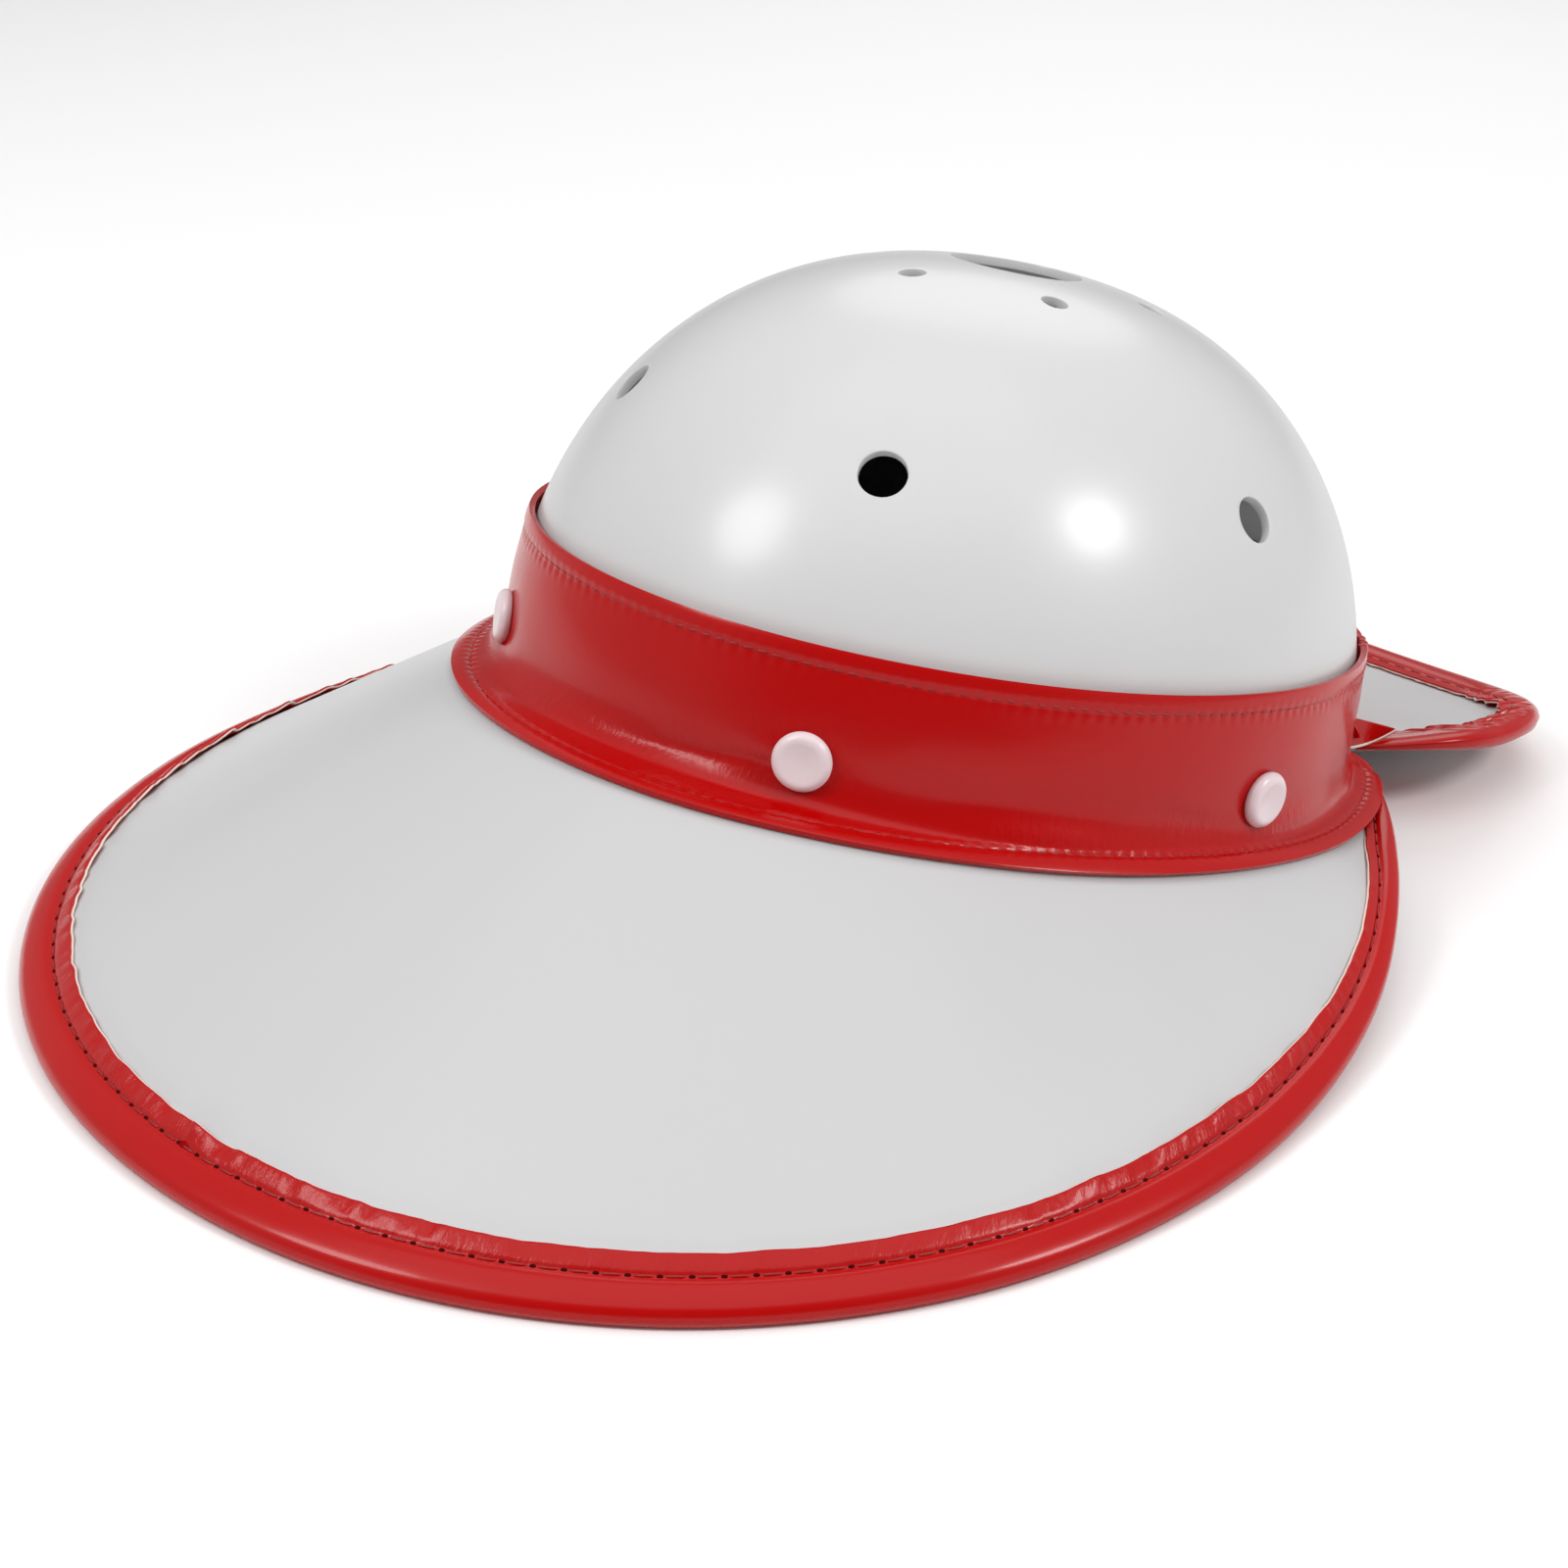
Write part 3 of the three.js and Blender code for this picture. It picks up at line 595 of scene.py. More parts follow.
def vented_dome(dome):
    """The dome's outside as points and patches of quads: a grid of columns round it by rows from the
    rim to the top opening, in which each vent takes the place of a block of cells. Rings blend from
    the block's outline to the vent's circle, in the plane that touches the dome there, and drop onto
    the dome."""
    turn = 2 * np.pi * np.arange(DOME_COLUMNS) / DOME_COLUMNS
    skirt = np.linspace(-dome.skirt, 0, SKIRT_ROWS + 1)[:-1]
    opening = dome.top_opening / 2 / np.hypot(
        dome.half_width * np.sin(turn), dome.half_length * np.cos(turn))
    last = np.arccos(opening ** (dome.plan_power / 2))
    share = np.linspace(0, 1, DOME_ROWS) ** 1.04
    upper = dome_profile(dome, turn[None, :], share[:, None] * last[None, :])
    lower = np.repeat(upper[:1], len(skirt), axis=0)
    lower[..., 2] = skirt[:, None]
    grid = np.concatenate((lower, upper))
    flat_grid = grid.reshape(-1, 3)
    rows = len(grid)
    total = rows * DOME_COLUMNS
    cells = np.ones((rows - 1, DOME_COLUMNS), bool)
    points, patches = [flat_grid], []
    closing = 1 - (dome.small_vent_ring / dome.half_length) ** dome.plan_power
    small_height = dome.height * closing ** (1 / dome.rise_power)
    blend = (np.arange(1, VENT_RINGS + 1) / VENT_RINGS)[:, None]
    for angle in SNAP_ANGLES:
        kinds = ((angle, dome.large_vent_height, dome.large_vent, LARGE_BLOCK),
                 (angle + 30, small_height, dome.small_vent, SMALL_BLOCK))
        for at, z, diameter, (up, over) in kinds:
            middle, normal = dome_point(dome, at, z, 0)
            column_at = round(at / 360 * DOME_COLUMNS) % DOME_COLUMNS
            row = int(np.abs(grid[:, column_at, 2] - z).argmin())
            hidden = (column_at + np.arange(-over, over)) % DOME_COLUMNS
            cells[row - up:row + up, hidden] = False
            outline = block_outline(row, column_at, up, over, DOME_COLUMNS)
            side = unit(np.cross((0, 0, 1), normal))
            rise = np.cross(normal, side)
            flat = flat_grid[outline] - middle
            across, along = flat @ side, flat @ rise
            direction = np.arctan2(along, across)
            a = across * (1 - blend) + diameter / 2 * np.cos(direction) * blend
            b = along * (1 - blend) + diameter / 2 * np.sin(direction) * blend
            flat = middle + a[..., None] * side + b[..., None] * rise
            points.append(dropped_on_dome(dome, flat, normal).reshape(-1, 3))
            numbers = np.concatenate((outline[None], total + np.arange(a.size).reshape(a.shape)))
            following = np.roll(numbers, -1, axis=1)
            quads = (numbers[:-1], following[:-1], following[1:], numbers[1:])
            patches.append(np.stack(quads, -1).reshape(-1, 4))
            total += a.size
    quads = grid_quads(rows, DOME_COLUMNS, ring_columns=True)[cells.ravel()]
    return np.concatenate(points), [quads, *patches]


def surface_of(grid):
    """Quads of an open grid of points."""
    return grid_quads(grid.shape[0], grid.shape[1])


def seam_relief(distance, hem, puff):
    """Height of a sewn hem by distance from its edge: a low swell between the edge and the seam,
    puff sin(pi d / hem), and a narrow groove along the seam."""
    swell = puff * np.sin(np.pi * np.clip(distance / hem, 0, 1))
    return swell - 1.1 * puff * bell(distance - hem, 0.55 * MM)


def upright(dome, band, angle, level, rows):
    """Middle of a band's upright part, snug on the dome from its top edge down to a level."""
    share = np.linspace(1, 0, rows)[None, :]
    z = level[:, None] + (band.top - level[:, None]) * share
    out = GAP + band.wall / 2 + band.stand_off * share ** 8
    return around(angle[:, None], crown_radius(dome, angle[:, None], z) + out, z)


def bend(start, corner, end, rows):
    """Quadratic curve between two points, drawn towards a corner."""
    t = np.linspace(0, 1, rows)[None, :, None]
    return (start[:, None] * (1 - t) ** 2 + 2 * corner[:, None] * t * (1 - t)
            + end[:, None] * t * t)


def band_grid(dome, band, angle, level, turn, edge):
    """Middle surface of a band, as columns at angles and rows from its top edge to its lower edge:
    upright, a soft bend and the flare."""
    soft = np.minimum(band.turn_radius, 0.4 * (band.top - level))
    wall = upright(dome, band, angle, level + soft, UPRIGHT_ROWS)
    flare_start = (turn + 0.35 * (edge - turn))[:, None]
    curve = bend(wall[:, -1], turn, flare_start[:, 0], BEND_ROWS)[:, 1:]
    share = np.linspace(0, 1, FLARE_ROWS + 1)[None, 1:, None]
    return np.concatenate((wall, curve, flare_start + (edge[:, None] - flare_start) * share), axis=1)


def front_flare(dome, band, angle):
    """Middle of the front band's lower edge."""
    out = band.overhang * column(FRONT_EDGE, "flare", angle)
    down = band.straight + band.flare_drop * column(FRONT_EDGE, "drop", angle)
    return around(angle, crown_radius(dome, angle, np.zeros(1)) + out, -down)


def fold_relief(along, below, places):
    """Soft folds: for each, a bump that is long one way and narrow the other, turned by its slant.
    Returns their height and how creased the vinyl is there."""
    height = np.zeros(np.broadcast(along, below).shape)
    crease = np.zeros_like(height)
    for place, down, length, width, rise, slant in places:
        s, c = math.sin(math.radians(slant)), math.cos(math.radians(slant))
        run = (along - place) * c + (below - down) * s
        over = -(along - place) * s + (below - down) * c
        bump = bell(run, length) * bell(over, width)
        height += rise * bump
        crease += 0.8 * bell(run, 0.8 * length) * bell(over, 1.6 * width)
    return height, np.clip(crease, 0, 1)


def dressed_band(dome, band, angle, grid, folds, shift):
    """A band's surface in the row frame, with hems, seams, folds and a dent at each snap. Returns it
    with its normals, its distances from the top and the lower edge, its crease and its UV map."""
    outside = grid * np.array((1, 1, 0)) + np.array((0, 0, 50 * MM))
    normals = grid_normals(grid, outside)
    below = run_lengths(grid, axis=1)
    edge = below[:, -1:] - below
    mean = (dome.half_width + dome.half_length) / 2
    along = np.radians(angle)[:, None] * mean
    from_end = np.minimum(along - along[0], along[-1] - along)
    lower_hem = LOWER_HEM * band.hem
    height = (seam_relief(below, band.hem, band.puff) + seam_relief(edge, lower_hem, band.puff)
              + seam_relief(from_end, band.hem, 1.4 * band.puff))
    tug = 0.5 + 0.5 * np.cos(2 * np.pi * along / band.pitch)
    height += STITCH_TUG * tug * (bell(below - band.hem, 1.4 * MM) + bell(edge - lower_hem, 1.4 * MM))
    places = [(math.radians(place) * mean, *(size * MM for size in sizes), slant)
              for place, *sizes, slant in folds]
    fold, crease = fold_relief(along, below, places)
    height += fold
    down = band.top - band.snap_level
    for snap in SNAP_ANGLES:
        turn = math.atan2(dome.half_width * math.sin(math.radians(snap)),
                          dome.half_length * math.cos(math.radians(snap)))
        for whole in (0, 2 * math.pi):
            away = np.hypot(along - (turn + whole) * mean, below - down)
            height -= SNAP_DENT * bell(away, 10 * MM)
            crease += 0.35 * bell(away, 11 * MM)
    drape = waves(along, "band drape") * step_up(below, 12 * MM, 30 * MM) * step_up(edge, 0, 12 * MM)
    surface = grid + (height + BAND_DRAPE * drape)[..., None] * normals
    turned = to_row(normals, dome, 0) - crown_middle(dome, 0)
    uv = np.stack(np.broadcast_arrays(along, below), -1)
    return to_row(surface, dome, shift), turned, below, edge, np.clip(crease, 0, 1), uv


def line_at(surface, normals, distance, hem, lift):
    """The line of a surface at a distance across it, lifted off it, and its normals."""
    nearest = np.abs(distance - hem).argmin(axis=1)
    i = np.arange(len(surface))
    return surface[i, nearest] + lift * normals[i, nearest], normals[i, nearest]


def resting_height(sheet, slope):
    """Height of a bound edge's middle, with its lower face pressed on the floor."""
    half = sheet.wall / 2 + GAP + sheet.binding_wall
    return half * math.cos(slope) - sheet.press


def brim_rulings(dome, band, sheet, angle, shift):
    """Rulings of the brim in the row frame: its bound edge, where it passes under the flare, its
    root by the dome, its normal and its binding's width."""
    stack = band.wall / 2 + GAP + sheet.wall / 2
    stand = resting_height(sheet, sheet.brim_slope)
    flare = to_row(front_flare(dome, band, angle), dome, 0)
    radius = crown_radius(dome, angle, np.zeros(1))
    out = radius + sheet.brim_overhang * column(FRONT_EDGE, "reach", angle)
    edge = around(angle, out, stand + (flare[:, 2] - stand) * column(FRONT_EDGE, "lift", angle))
    root = around(angle, radius + GAP + sheet.wall / 2, -(band.straight + sheet.brim_root))
    root = to_row(root, dome, 0)
    tuck = 0.6 * step_up(np.abs(angle), *BRIM_TUCK)[:, None]
    hinge = flare + (root - flare) * tuck
    up = grid_normals(np.stack((edge, hinge), 1), np.array((0, 0, 1)))[:, 1]
    inner = hinge - stack * up
    whole = sheet.binding * (1 - sheet.end_narrow * step_up(np.abs(angle), *BRIM_NARROWING))
    width = np.minimum(whole, sheet.end_share * np.linalg.norm(edge - inner, axis=-1))
    move = np.array((0, shift, 0))
    return edge + move, inner + move, root + move, up, width


def flap_height(dome, band, sheet, x, y):
    """Height of the flap's middle in crown coordinates: a slope from its root to its rear edge on
    the floor, plus curl |x / half width|^power at its sides and a lift towards its two ends."""
    rear = dome.half_length + sheet.flap_set_back + sheet.flap_rear
    stand = resting_height(sheet, sheet.flap_slope)
    rear_level = (stand - dome.stand + rear * math.sin(dome.lean)) / math.cos(dome.lean)
    root_level = -(band.straight + sheet.flap_root)
    slope = (rear_level - root_level) / (rear - dome.half_length)
    side = np.abs(x) / (dome.half_width - sheet.flap_inset)
    ahead = np.clip((dome.half_length + sheet.flap_set_back - y) / sheet.flap_front, 0, 1)
    rise = sheet.flap_curl * side ** sheet.flap_power + sheet.flap_end_lift * side ** 2 * ahead ** 1.2
    return root_level + slope * (y - dome.half_length) + rise


def flap_outline(dome, sheet, turn, set_in):
    """The flap's outline, a superellipse with a shallower front half, by turn from its rear."""
    across, along = np.sin(turn), np.cos(turn)
    power = 2 / sheet.flap_power
    depth = np.where(along > 0, sheet.flap_rear, sheet.flap_front) - set_in
    x = (dome.half_width - sheet.flap_inset - set_in) * np.sign(across) * np.abs(across) ** power
    y = dome.half_length + sheet.flap_set_back + depth * np.sign(along) * np.abs(along) ** power
    return x, y


def flap_rulings(dome, band, sheet, count, shift):
    """Rulings square to the flap's outline: its edge, a point in from it, its normal and width."""
    fine = np.linspace(-sheet.flap_end, sheet.flap_end, OUTLINE_POINTS)
    x, y = flap_outline(dome, sheet, fine, 0)
    along = run_lengths(np.stack((x, y), -1))
    even = np.linspace(0, along[-1], count)
    x, y = np.interp(even, along, x), np.interp(even, along, y)
    slope_x, slope_y = np.gradient(x, even), np.gradient(y, even)
    length = np.hypot(slope_x, slope_y)
    in_x, in_y = slope_y / length, -slope_x / length

    def on_flap(px, py):
        return to_row(np.stack((px, py, flap_height(dome, band, sheet, px, py)), -1), dome, shift)

    edge = on_flap(x, y)
    inner = on_flap(x + sheet.binding * in_x, y + sheet.binding * in_y)
    up = grid_normals(np.stack((edge, inner), 1), np.array((0, 0, 1)))[:, 0]
    from_rear = np.abs(even - even[-1] / 2)
    wider = step_up(from_rear, even[-1] / 2 - 50 * MM, even[-1] / 2 - 10 * MM)
    gathered = bell(from_rear - sheet.flap_corner, 30 * MM)
    share = 1 + sheet.flap_end_width * wider - sheet.flap_gathered * gathered
    return edge, inner, up, sheet.binding * share


def rolled(share):
    """Height of a fold round the nose, from 0 to 1, by share across: a quarter circle, then level."""
    return np.sqrt(np.clip(1 - (1 - np.clip(share * NOSE_STEEPNESS, 0, 1)) ** 2, 0, 1))


def binding_loops(sheet, edge, inner, up, width, relief, wobble, full_height):
    """Vinyl folded over a sheet's edge, as closed loops: over the top from the cut edge to the
    nose, round it, back below, and returning inside. relief lifts the top by its share across
    from the nose, 0, to the cut edge, 1, wobble moves the cut edge, and full_height is how much of
    its height each ruling keeps. Returns the loops, the shares across of the points over the top
    and each ruling's inward direction."""
    inward = unit(inner - edge)
    cavity = sheet.wall / 2 + 0.15 * MM
    half = cavity + sheet.binding_wall
    share = np.linspace(1, 0, BINDING_TOP)
    full = width[:, None] + wobble[:, None] * share ** 3
    bulge = BINDING_BULGE * np.sin(np.pi * np.clip(share / sheet.seam, 0, 1)) ** 0.8
    top = half * rolled(share) + bulge + relief(share)
    back = np.linspace(0, 1, BINDING_UNDER)[1:]
    under = -half * rolled(back) - BINDING_HOLLOW * np.sin(np.pi * back)
    under = np.broadcast_to(under, (len(edge), len(back)))
    nose = np.full_like(width, sheet.nose)
    inside_across = np.stack((width, nose, nose, full[:, 0]), 1)
    inside = np.broadcast_to(np.array((-cavity, -cavity, cavity, cavity)), (len(edge), 4)).copy()
    inside[:, 3] = np.maximum(top[:, 0] - sheet.binding_wall, 0.5 * sheet.wall)
    across = np.concatenate((share[None, :] * full, back[None, :] * width[:, None], inside_across), 1)
    heights = np.concatenate((top, under, inside), 1) * full_height[:, None]
    loops = (edge[:, None] + across[..., None] * inward[:, None] + heights[..., None] * up[:, None])
    loops[..., 2] = np.maximum(loops[..., 2], 0)
    return loops, share, inward


def add_binding(name, sheet, rulings, relief, wobble, full_height, crease, peek, holes):
    """A sheet's folded binding with its seam, dark marks that paint the shade inside its needle holes if
    it has any, and a thin pale strip of the vinyl's backing that shows past its cut edge by peek. crease
    gives how creased the vinyl is over its top, by the share across."""
    edge, inner, up, width = rulings
    loops, share, inward = binding_loops(sheet, edge, inner, up, width, relief, wobble, full_height)
    creased = np.zeros(loops.shape[:2])
    creased[:, :len(share)] = crease(share)
    uv = np.stack(np.broadcast_arrays(run_lengths(edge)[:, None], run_lengths(loops, axis=1)), -1)
    add_loops(f"{name}_binding_vinyl", loops, glossy_red_vinyl, f"{name}_binding", uv,
              creased)
    seam = loops[:, int(np.abs(share - sheet.seam).argmin())]
    # The stitches' darker colour paints the shade of the seam's groove.
    add_stitches(f"{name}_binding_stitches", seam + 0.1 * MM * up, up, sheet.pitch,
                 (0.62 * sheet.pitch, THREAD, 0.5 * MM), thread_with_painted_groove_shade)
    # Dark marks along the seam paint the shade inside the needle holes; the vinyl is not pierced.
    if holes:
        add_stitches(f"{name}_hole_shade_marks", seam + 0.05 * MM * up, up, sheet.pitch, HOLE_SHADE_SIZE, painted_hole_shade, 0)
    low, thick = BACKING_DEPTH * up, BACKING_WALL * up
    start = loops[:, 0] - BACKING_UNDER * inward - low
    end = loops[:, 0] + peek[:, None] * inward - low
    strip = np.stack((start, end, end + thick, start + thick), 1)
    add_loops(f"{name}_backing", strip, knitted_backing)


def add_sheet(name, grid, sheet, node, shift):
    """A white sheet from the grid of its middle."""
    piece = add_piece(name, grid, surface_of(grid), calendered_white_vinyl, node,
                      (0, shift, -1))
    thicken(piece, sheet.wall, SHEET_RIM)


def add_node(tree, kind, settings=None, links=None):
    """Adds a node, sets its properties or its inputs' values, and links sockets to its inputs."""
    node = tree.nodes.new(kind)
    for key, value in (settings or {}).items():
        if isinstance(key, int) or key in node.inputs:
            node.inputs[key].default_value = value
        else:
            setattr(node, key, value)
    for key, socket in (links or {}).items():
        tree.links.new(socket, node.inputs[key])
    return node


def new_material(name, color, settings, grain=0.0, height=0.0, strength=1.0, detail=3.0):
    """A material with its shader's settings, and bump from noise where it has a grain. The grain is
    a size in metres, height metres high. Returns the material, its tree, its shader, its
    coordinates and its output."""
    material = bpy.data.materials.new(name)
    material.use_nodes = True
    tree = material.node_tree
    tree.nodes.clear()
    shader = add_node(tree, "ShaderNodeBsdfPrincipled", {"Base Color": (*color, 1), **settings})
    output = add_node(tree, "ShaderNodeOutputMaterial", links={"Surface": shader.outputs[0]})
    coordinates = add_node(tree, "ShaderNodeTexCoord")
    if grain:
        noise = add_node(tree, "ShaderNodeTexNoise", {"Scale": 1 / grain, "Detail": detail},
                         {"Vector": coordinates.outputs["Object"]})
        bump = add_node(tree, "ShaderNodeBump", {"Strength": strength, "Distance": height},
                        {"Height": noise.outputs[0]})
        tree.links.new(bump.outputs[0], shader.inputs["Normal"])
    return material, tree, shader, coordinates, output


def moulded_polyethylene(colors):
    """Dome: white polyethylene from a polished mould, so an even satin gloss that mirrors soft
    boxes as blurred patches, over the faint unevenness of a thin moulded wall. The wall is thin
    enough to let some light through, so the hollow isn't dark."""
    material, tree, shader, _, output = new_material(
        "moulded_polyethylene", colors.dome,
        {"Roughness": 0.3, "IOR": 1.5, "Coat Weight": 0.25, "Coat Roughness": 0.16},
        30 * MM, 0.12 * MM, 0.5, 1.0)
    through = add_node(tree, "ShaderNodeBsdfTranslucent", {"Color": (*colors.dome, 1)})
    mixed = add_node(tree, "ShaderNodeMixShader", {"Fac": 0.26},
                     {1: shader.outputs[0], 2: through.outputs[0]})
    tree.links.new(mixed.outputs[0], output.inputs["Surface"])
    return material


def calendered_white_vinyl(colors):
    """Brim and flap: stiff PVC sheet rolled to a satin face, milky white."""
    settings = {"Roughness": 0.36, "IOR": 1.53, "Coat Weight": 0.1, "Coat Roughness": 0.25}
    return new_material(
        "calendered_white_vinyl", colors.sheet, settings, 45 * MM, 0.25 * MM, 0.4, 1.0)[0]


def glossy_red_vinyl(colors):
    """Band and bindings: soft PVC film on a knitted backing, glossy, with small crackled wrinkles
    where it was folded and sewn. The crease attribute says where, and the wrinkles run across the
    seams at 1 to 3 mm."""
    material, tree, shader, coordinates, _ = new_material(
        "glossy_red_vinyl", colors.vinyl,
        {"Roughness": 0.24, "IOR": 1.53, "Specular IOR Level": 0.2, "Coat Weight": 0.12,
         "Coat Roughness": 0.08})
    crease = add_node(tree, "ShaderNodeAttribute", {"attribute_name": "crease"})
    stretched = add_node(tree, "ShaderNodeMapping", {"Scale": (1 / (1.6 * MM), 1 / (5 * MM), 1)},
                         {"Vector": coordinates.outputs["UV"]})
    wrinkle = add_node(tree, "ShaderNodeTexNoise", {"Scale": 1.0, "Detail": 4.0, "Roughness": 0.6},
                       {"Vector": stretched.outputs[0]})
    soft = add_node(tree, "ShaderNodeTexNoise", {"Scale": 1 / (14 * MM), "Detail": 1.0},
                    {"Vector": coordinates.outputs["Object"]})
    local = add_node(tree, "ShaderNodeMath", {"operation": "MULTIPLY"},
                     {0: wrinkle.outputs[0], 1: crease.outputs[2]})
    first = add_node(tree, "ShaderNodeBump", {"Strength": 0.5, "Distance": 0.35 * MM},
                     {"Height": soft.outputs[0]})
    second = add_node(tree, "ShaderNodeBump", {"Strength": 0.9, "Distance": 0.45 * MM},
                      {"Height": local.outputs[0], "Normal": first.outputs[0]})
    tree.links.new(second.outputs[0], shader.inputs["Normal"])
    return material


def knitted_backing(colors):
    """Cut edge of the vinyl: pale knitted polyester, matt, its loops about 0.4 mm."""
    return new_material("knitted_backing", colors.backing, {"Roughness": 0.8}, 0.4 * MM, 0.1 * MM)[0]


def thread_with_painted_groove_shade(colors):
    """Seams: twisted polyester sewing thread with a slight lustre. Its red is the vinyl's, made darker to
    paint the shade in the seam's groove at each stitch.
    """
    return new_material("thread_with_painted_groove_shade", colors.thread, {"Roughness": 0.4}, 0.3 * MM, 0.05 * MM)[0]


def painted_hole_shade(colors):
    """Painted shade of needle holes: small dark matt marks on the seam that stand in for the shaded
    inside of the pierced vinyl; the vinyl is not pierced.
    """
    return new_material("painted_hole_shade", colors.hole, {"Roughness": 0.8, "Specular IOR Level": 0.1})[0]


def pearl_acetal(colors):
    """Snap caps: moulded acetal, faintly pink and translucent, with a soft gloss."""
    settings = {"Roughness": 0.34, "IOR": 1.48, "Subsurface Weight": 0.15,
                "Subsurface Scale": 2 * MM, "Coat Weight": 0.2, "Coat Roughness": 0.2}
    return new_material("pearl_acetal", colors.snap, settings, 6 * MM, 0.05 * MM, 0.5, 1.0)[0]


def black_foam(colors):
    """Headband: closed-cell polyethylene foam, matt, with cells of about 1 mm."""
    return new_material("black_foam", colors.foam, {"Roughness": 0.85}, 1 * MM, 0.2 * MM)[0]


def studio_floor(colors):
    """Floor: seamless pale paper, matt."""
    return new_material("studio_floor", colors.floor, {"Roughness": 0.9})[0]


class HAT_OT_dome(bpy.types.Operator):
    """Makes the vented dome."""
    bl_idname = "hat.dome"
    bl_label = "Dome"

    def execute(self, context):
        dome, shift = context.scene.hat_dome, axis_y(context.scene)
        points, patches = vented_dome(dome)
        quads = np.concatenate([facing_out(points, patch, np.zeros(3)) for patch in patches])
        piece = add_piece("dome", to_row(points, dome, shift), quads, moulded_polyethylene,
                          "crown_shell", crown_middle(dome, shift))
        thicken(piece, dome.wall, HARD_RIM, -1.0)
        return {"FINISHED"}


class HAT_OT_headband(bpy.types.Operator):
    """Makes the foam band inside the dome: the dome's form moved in by its wall and a gap."""
    bl_idname = "hat.headband"
    bl_label = "Headband"

    def execute(self, context):
        dome, shift = context.scene.hat_dome, axis_y(context.scene)
        columns, rows = HEADBAND_GRID
        turn = 2 * np.pi * np.arange(columns)[:, None] / columns
        z = np.linspace(-dome.headband_bottom, dome.headband_top, rows)[None, :]
        share = closed_in(dome, z)
        depth = dome.wall + GAP + dome.headband_wall / 2
        x = (dome.half_width * share - depth) * np.sin(turn)
        y = -(dome.half_length * share - depth) * np.cos(turn)
        points = to_row(np.stack(np.broadcast_arrays(x, y, z), -1), dome, shift)
        quads = grid_quads(columns, rows, ring_rows=True)
        piece = add_piece("foam_headband", points, quads, black_foam,
                          "inner_headband", crown_middle(dome, shift))
        thicken(piece, dome.headband_wall, FOAM_RIM)
        return {"FINISHED"}


class HAT_OT_bands(bpy.types.Operator):
    """Makes the red band's front and back lengths with their seams."""
    bl_idname = "hat.bands"
    bl_label = "Bands"

    def execute(self, context):
        dome, band = context.scene.hat_dome, context.scene.hat_band
        end = math.degrees(band.end)
        middle = GAP + band.wall / 2

        angle = np.linspace(-end, end, FRONT_COLUMNS)
        share = column(FRONT_EDGE, "turn", angle)
        level = -band.straight * share
        radius = crown_radius(dome, angle, np.zeros(1))
        turn = around(angle, radius + middle + 0.3 * MM, level - band.turn_drop * share)
        from_end = np.clip((end - np.abs(angle)) / ROUNDED_CORNER, 0, 1)
        corner = np.sqrt(np.clip(1 - (1 - from_end) ** 2, 0.06, 1))
        edge = turn + (front_flare(dome, band, angle) - turn) * corner[:, None]
        grid = band_grid(dome, band, angle, level, turn, edge)
        self.add_band(context.scene, "front", angle, grid, tuple(zip(*FOLDS.values())))

        seam = math.degrees(2 * GAP / dome.half_width)
        angle = np.linspace(end + seam, 360 - end - seam, BACK_COLUMNS)
        side = 180 - np.abs(180 - angle)
        level = band.straight * column(BACK_EDGE, "turn", side)
        radius = crown_radius(dome, angle, np.zeros(1))
        turn = around(angle, radius + middle + 0.1 * MM, level - 0.5 * MM)
        edge = around(angle, radius + band.back_overhang * column(BACK_EDGE, "out", side),
                      band.straight * column(BACK_EDGE, "edge", side))
        grid = band_grid(dome, band, angle, level, turn, edge)
        self.add_band(context.scene, "back", angle, grid, ())
        return {"FINISHED"}

    def add_band(self, scene, name, angle, grid, folds):
        """Adds one length of band with its seams, and the front one's seams along its two ends."""
        dome, band, shift = scene.hat_dome, scene.hat_band, axis_y(scene)
        row, normals, below, edge, crease, uv = dressed_band(dome, band, angle, grid, folds, shift)
        piece = add_piece(f"{name}_band_vinyl", row, surface_of(row), glossy_red_vinyl,
                          f"{name}_band", crown_middle(dome, shift), uv=uv, crease=crease)
        thicken(piece, band.wall, HARD_RIM)
        lift = band.wall / 2 - 0.05 * MM
        size = (0.72 * band.pitch, THREAD, THREAD)
        hems = (("top", below, band.hem), ("lower", edge, LOWER_HEM * band.hem))
        # The stitches' darker colour paints the shade of the seam's groove.
        for place, distance, hem in hems:
            line, up = line_at(row, normals, distance, hem, lift)
            add_stitches(f"{name}_band_{place}_stitches", line, up, band.pitch, size, thread_with_painted_groove_shade)
        ends = ((END_SEAM_COLUMN, "right"), (-1 - END_SEAM_COLUMN, "left")) if folds else ()
        for number, word in ends:
            up = normals[number, END_SEAM_ROWS]
            line = row[number, END_SEAM_ROWS] + lift * up
            add_stitches(f"band_end_stitches_{word}", line, up, band.pitch, size, thread_with_painted_groove_shade)


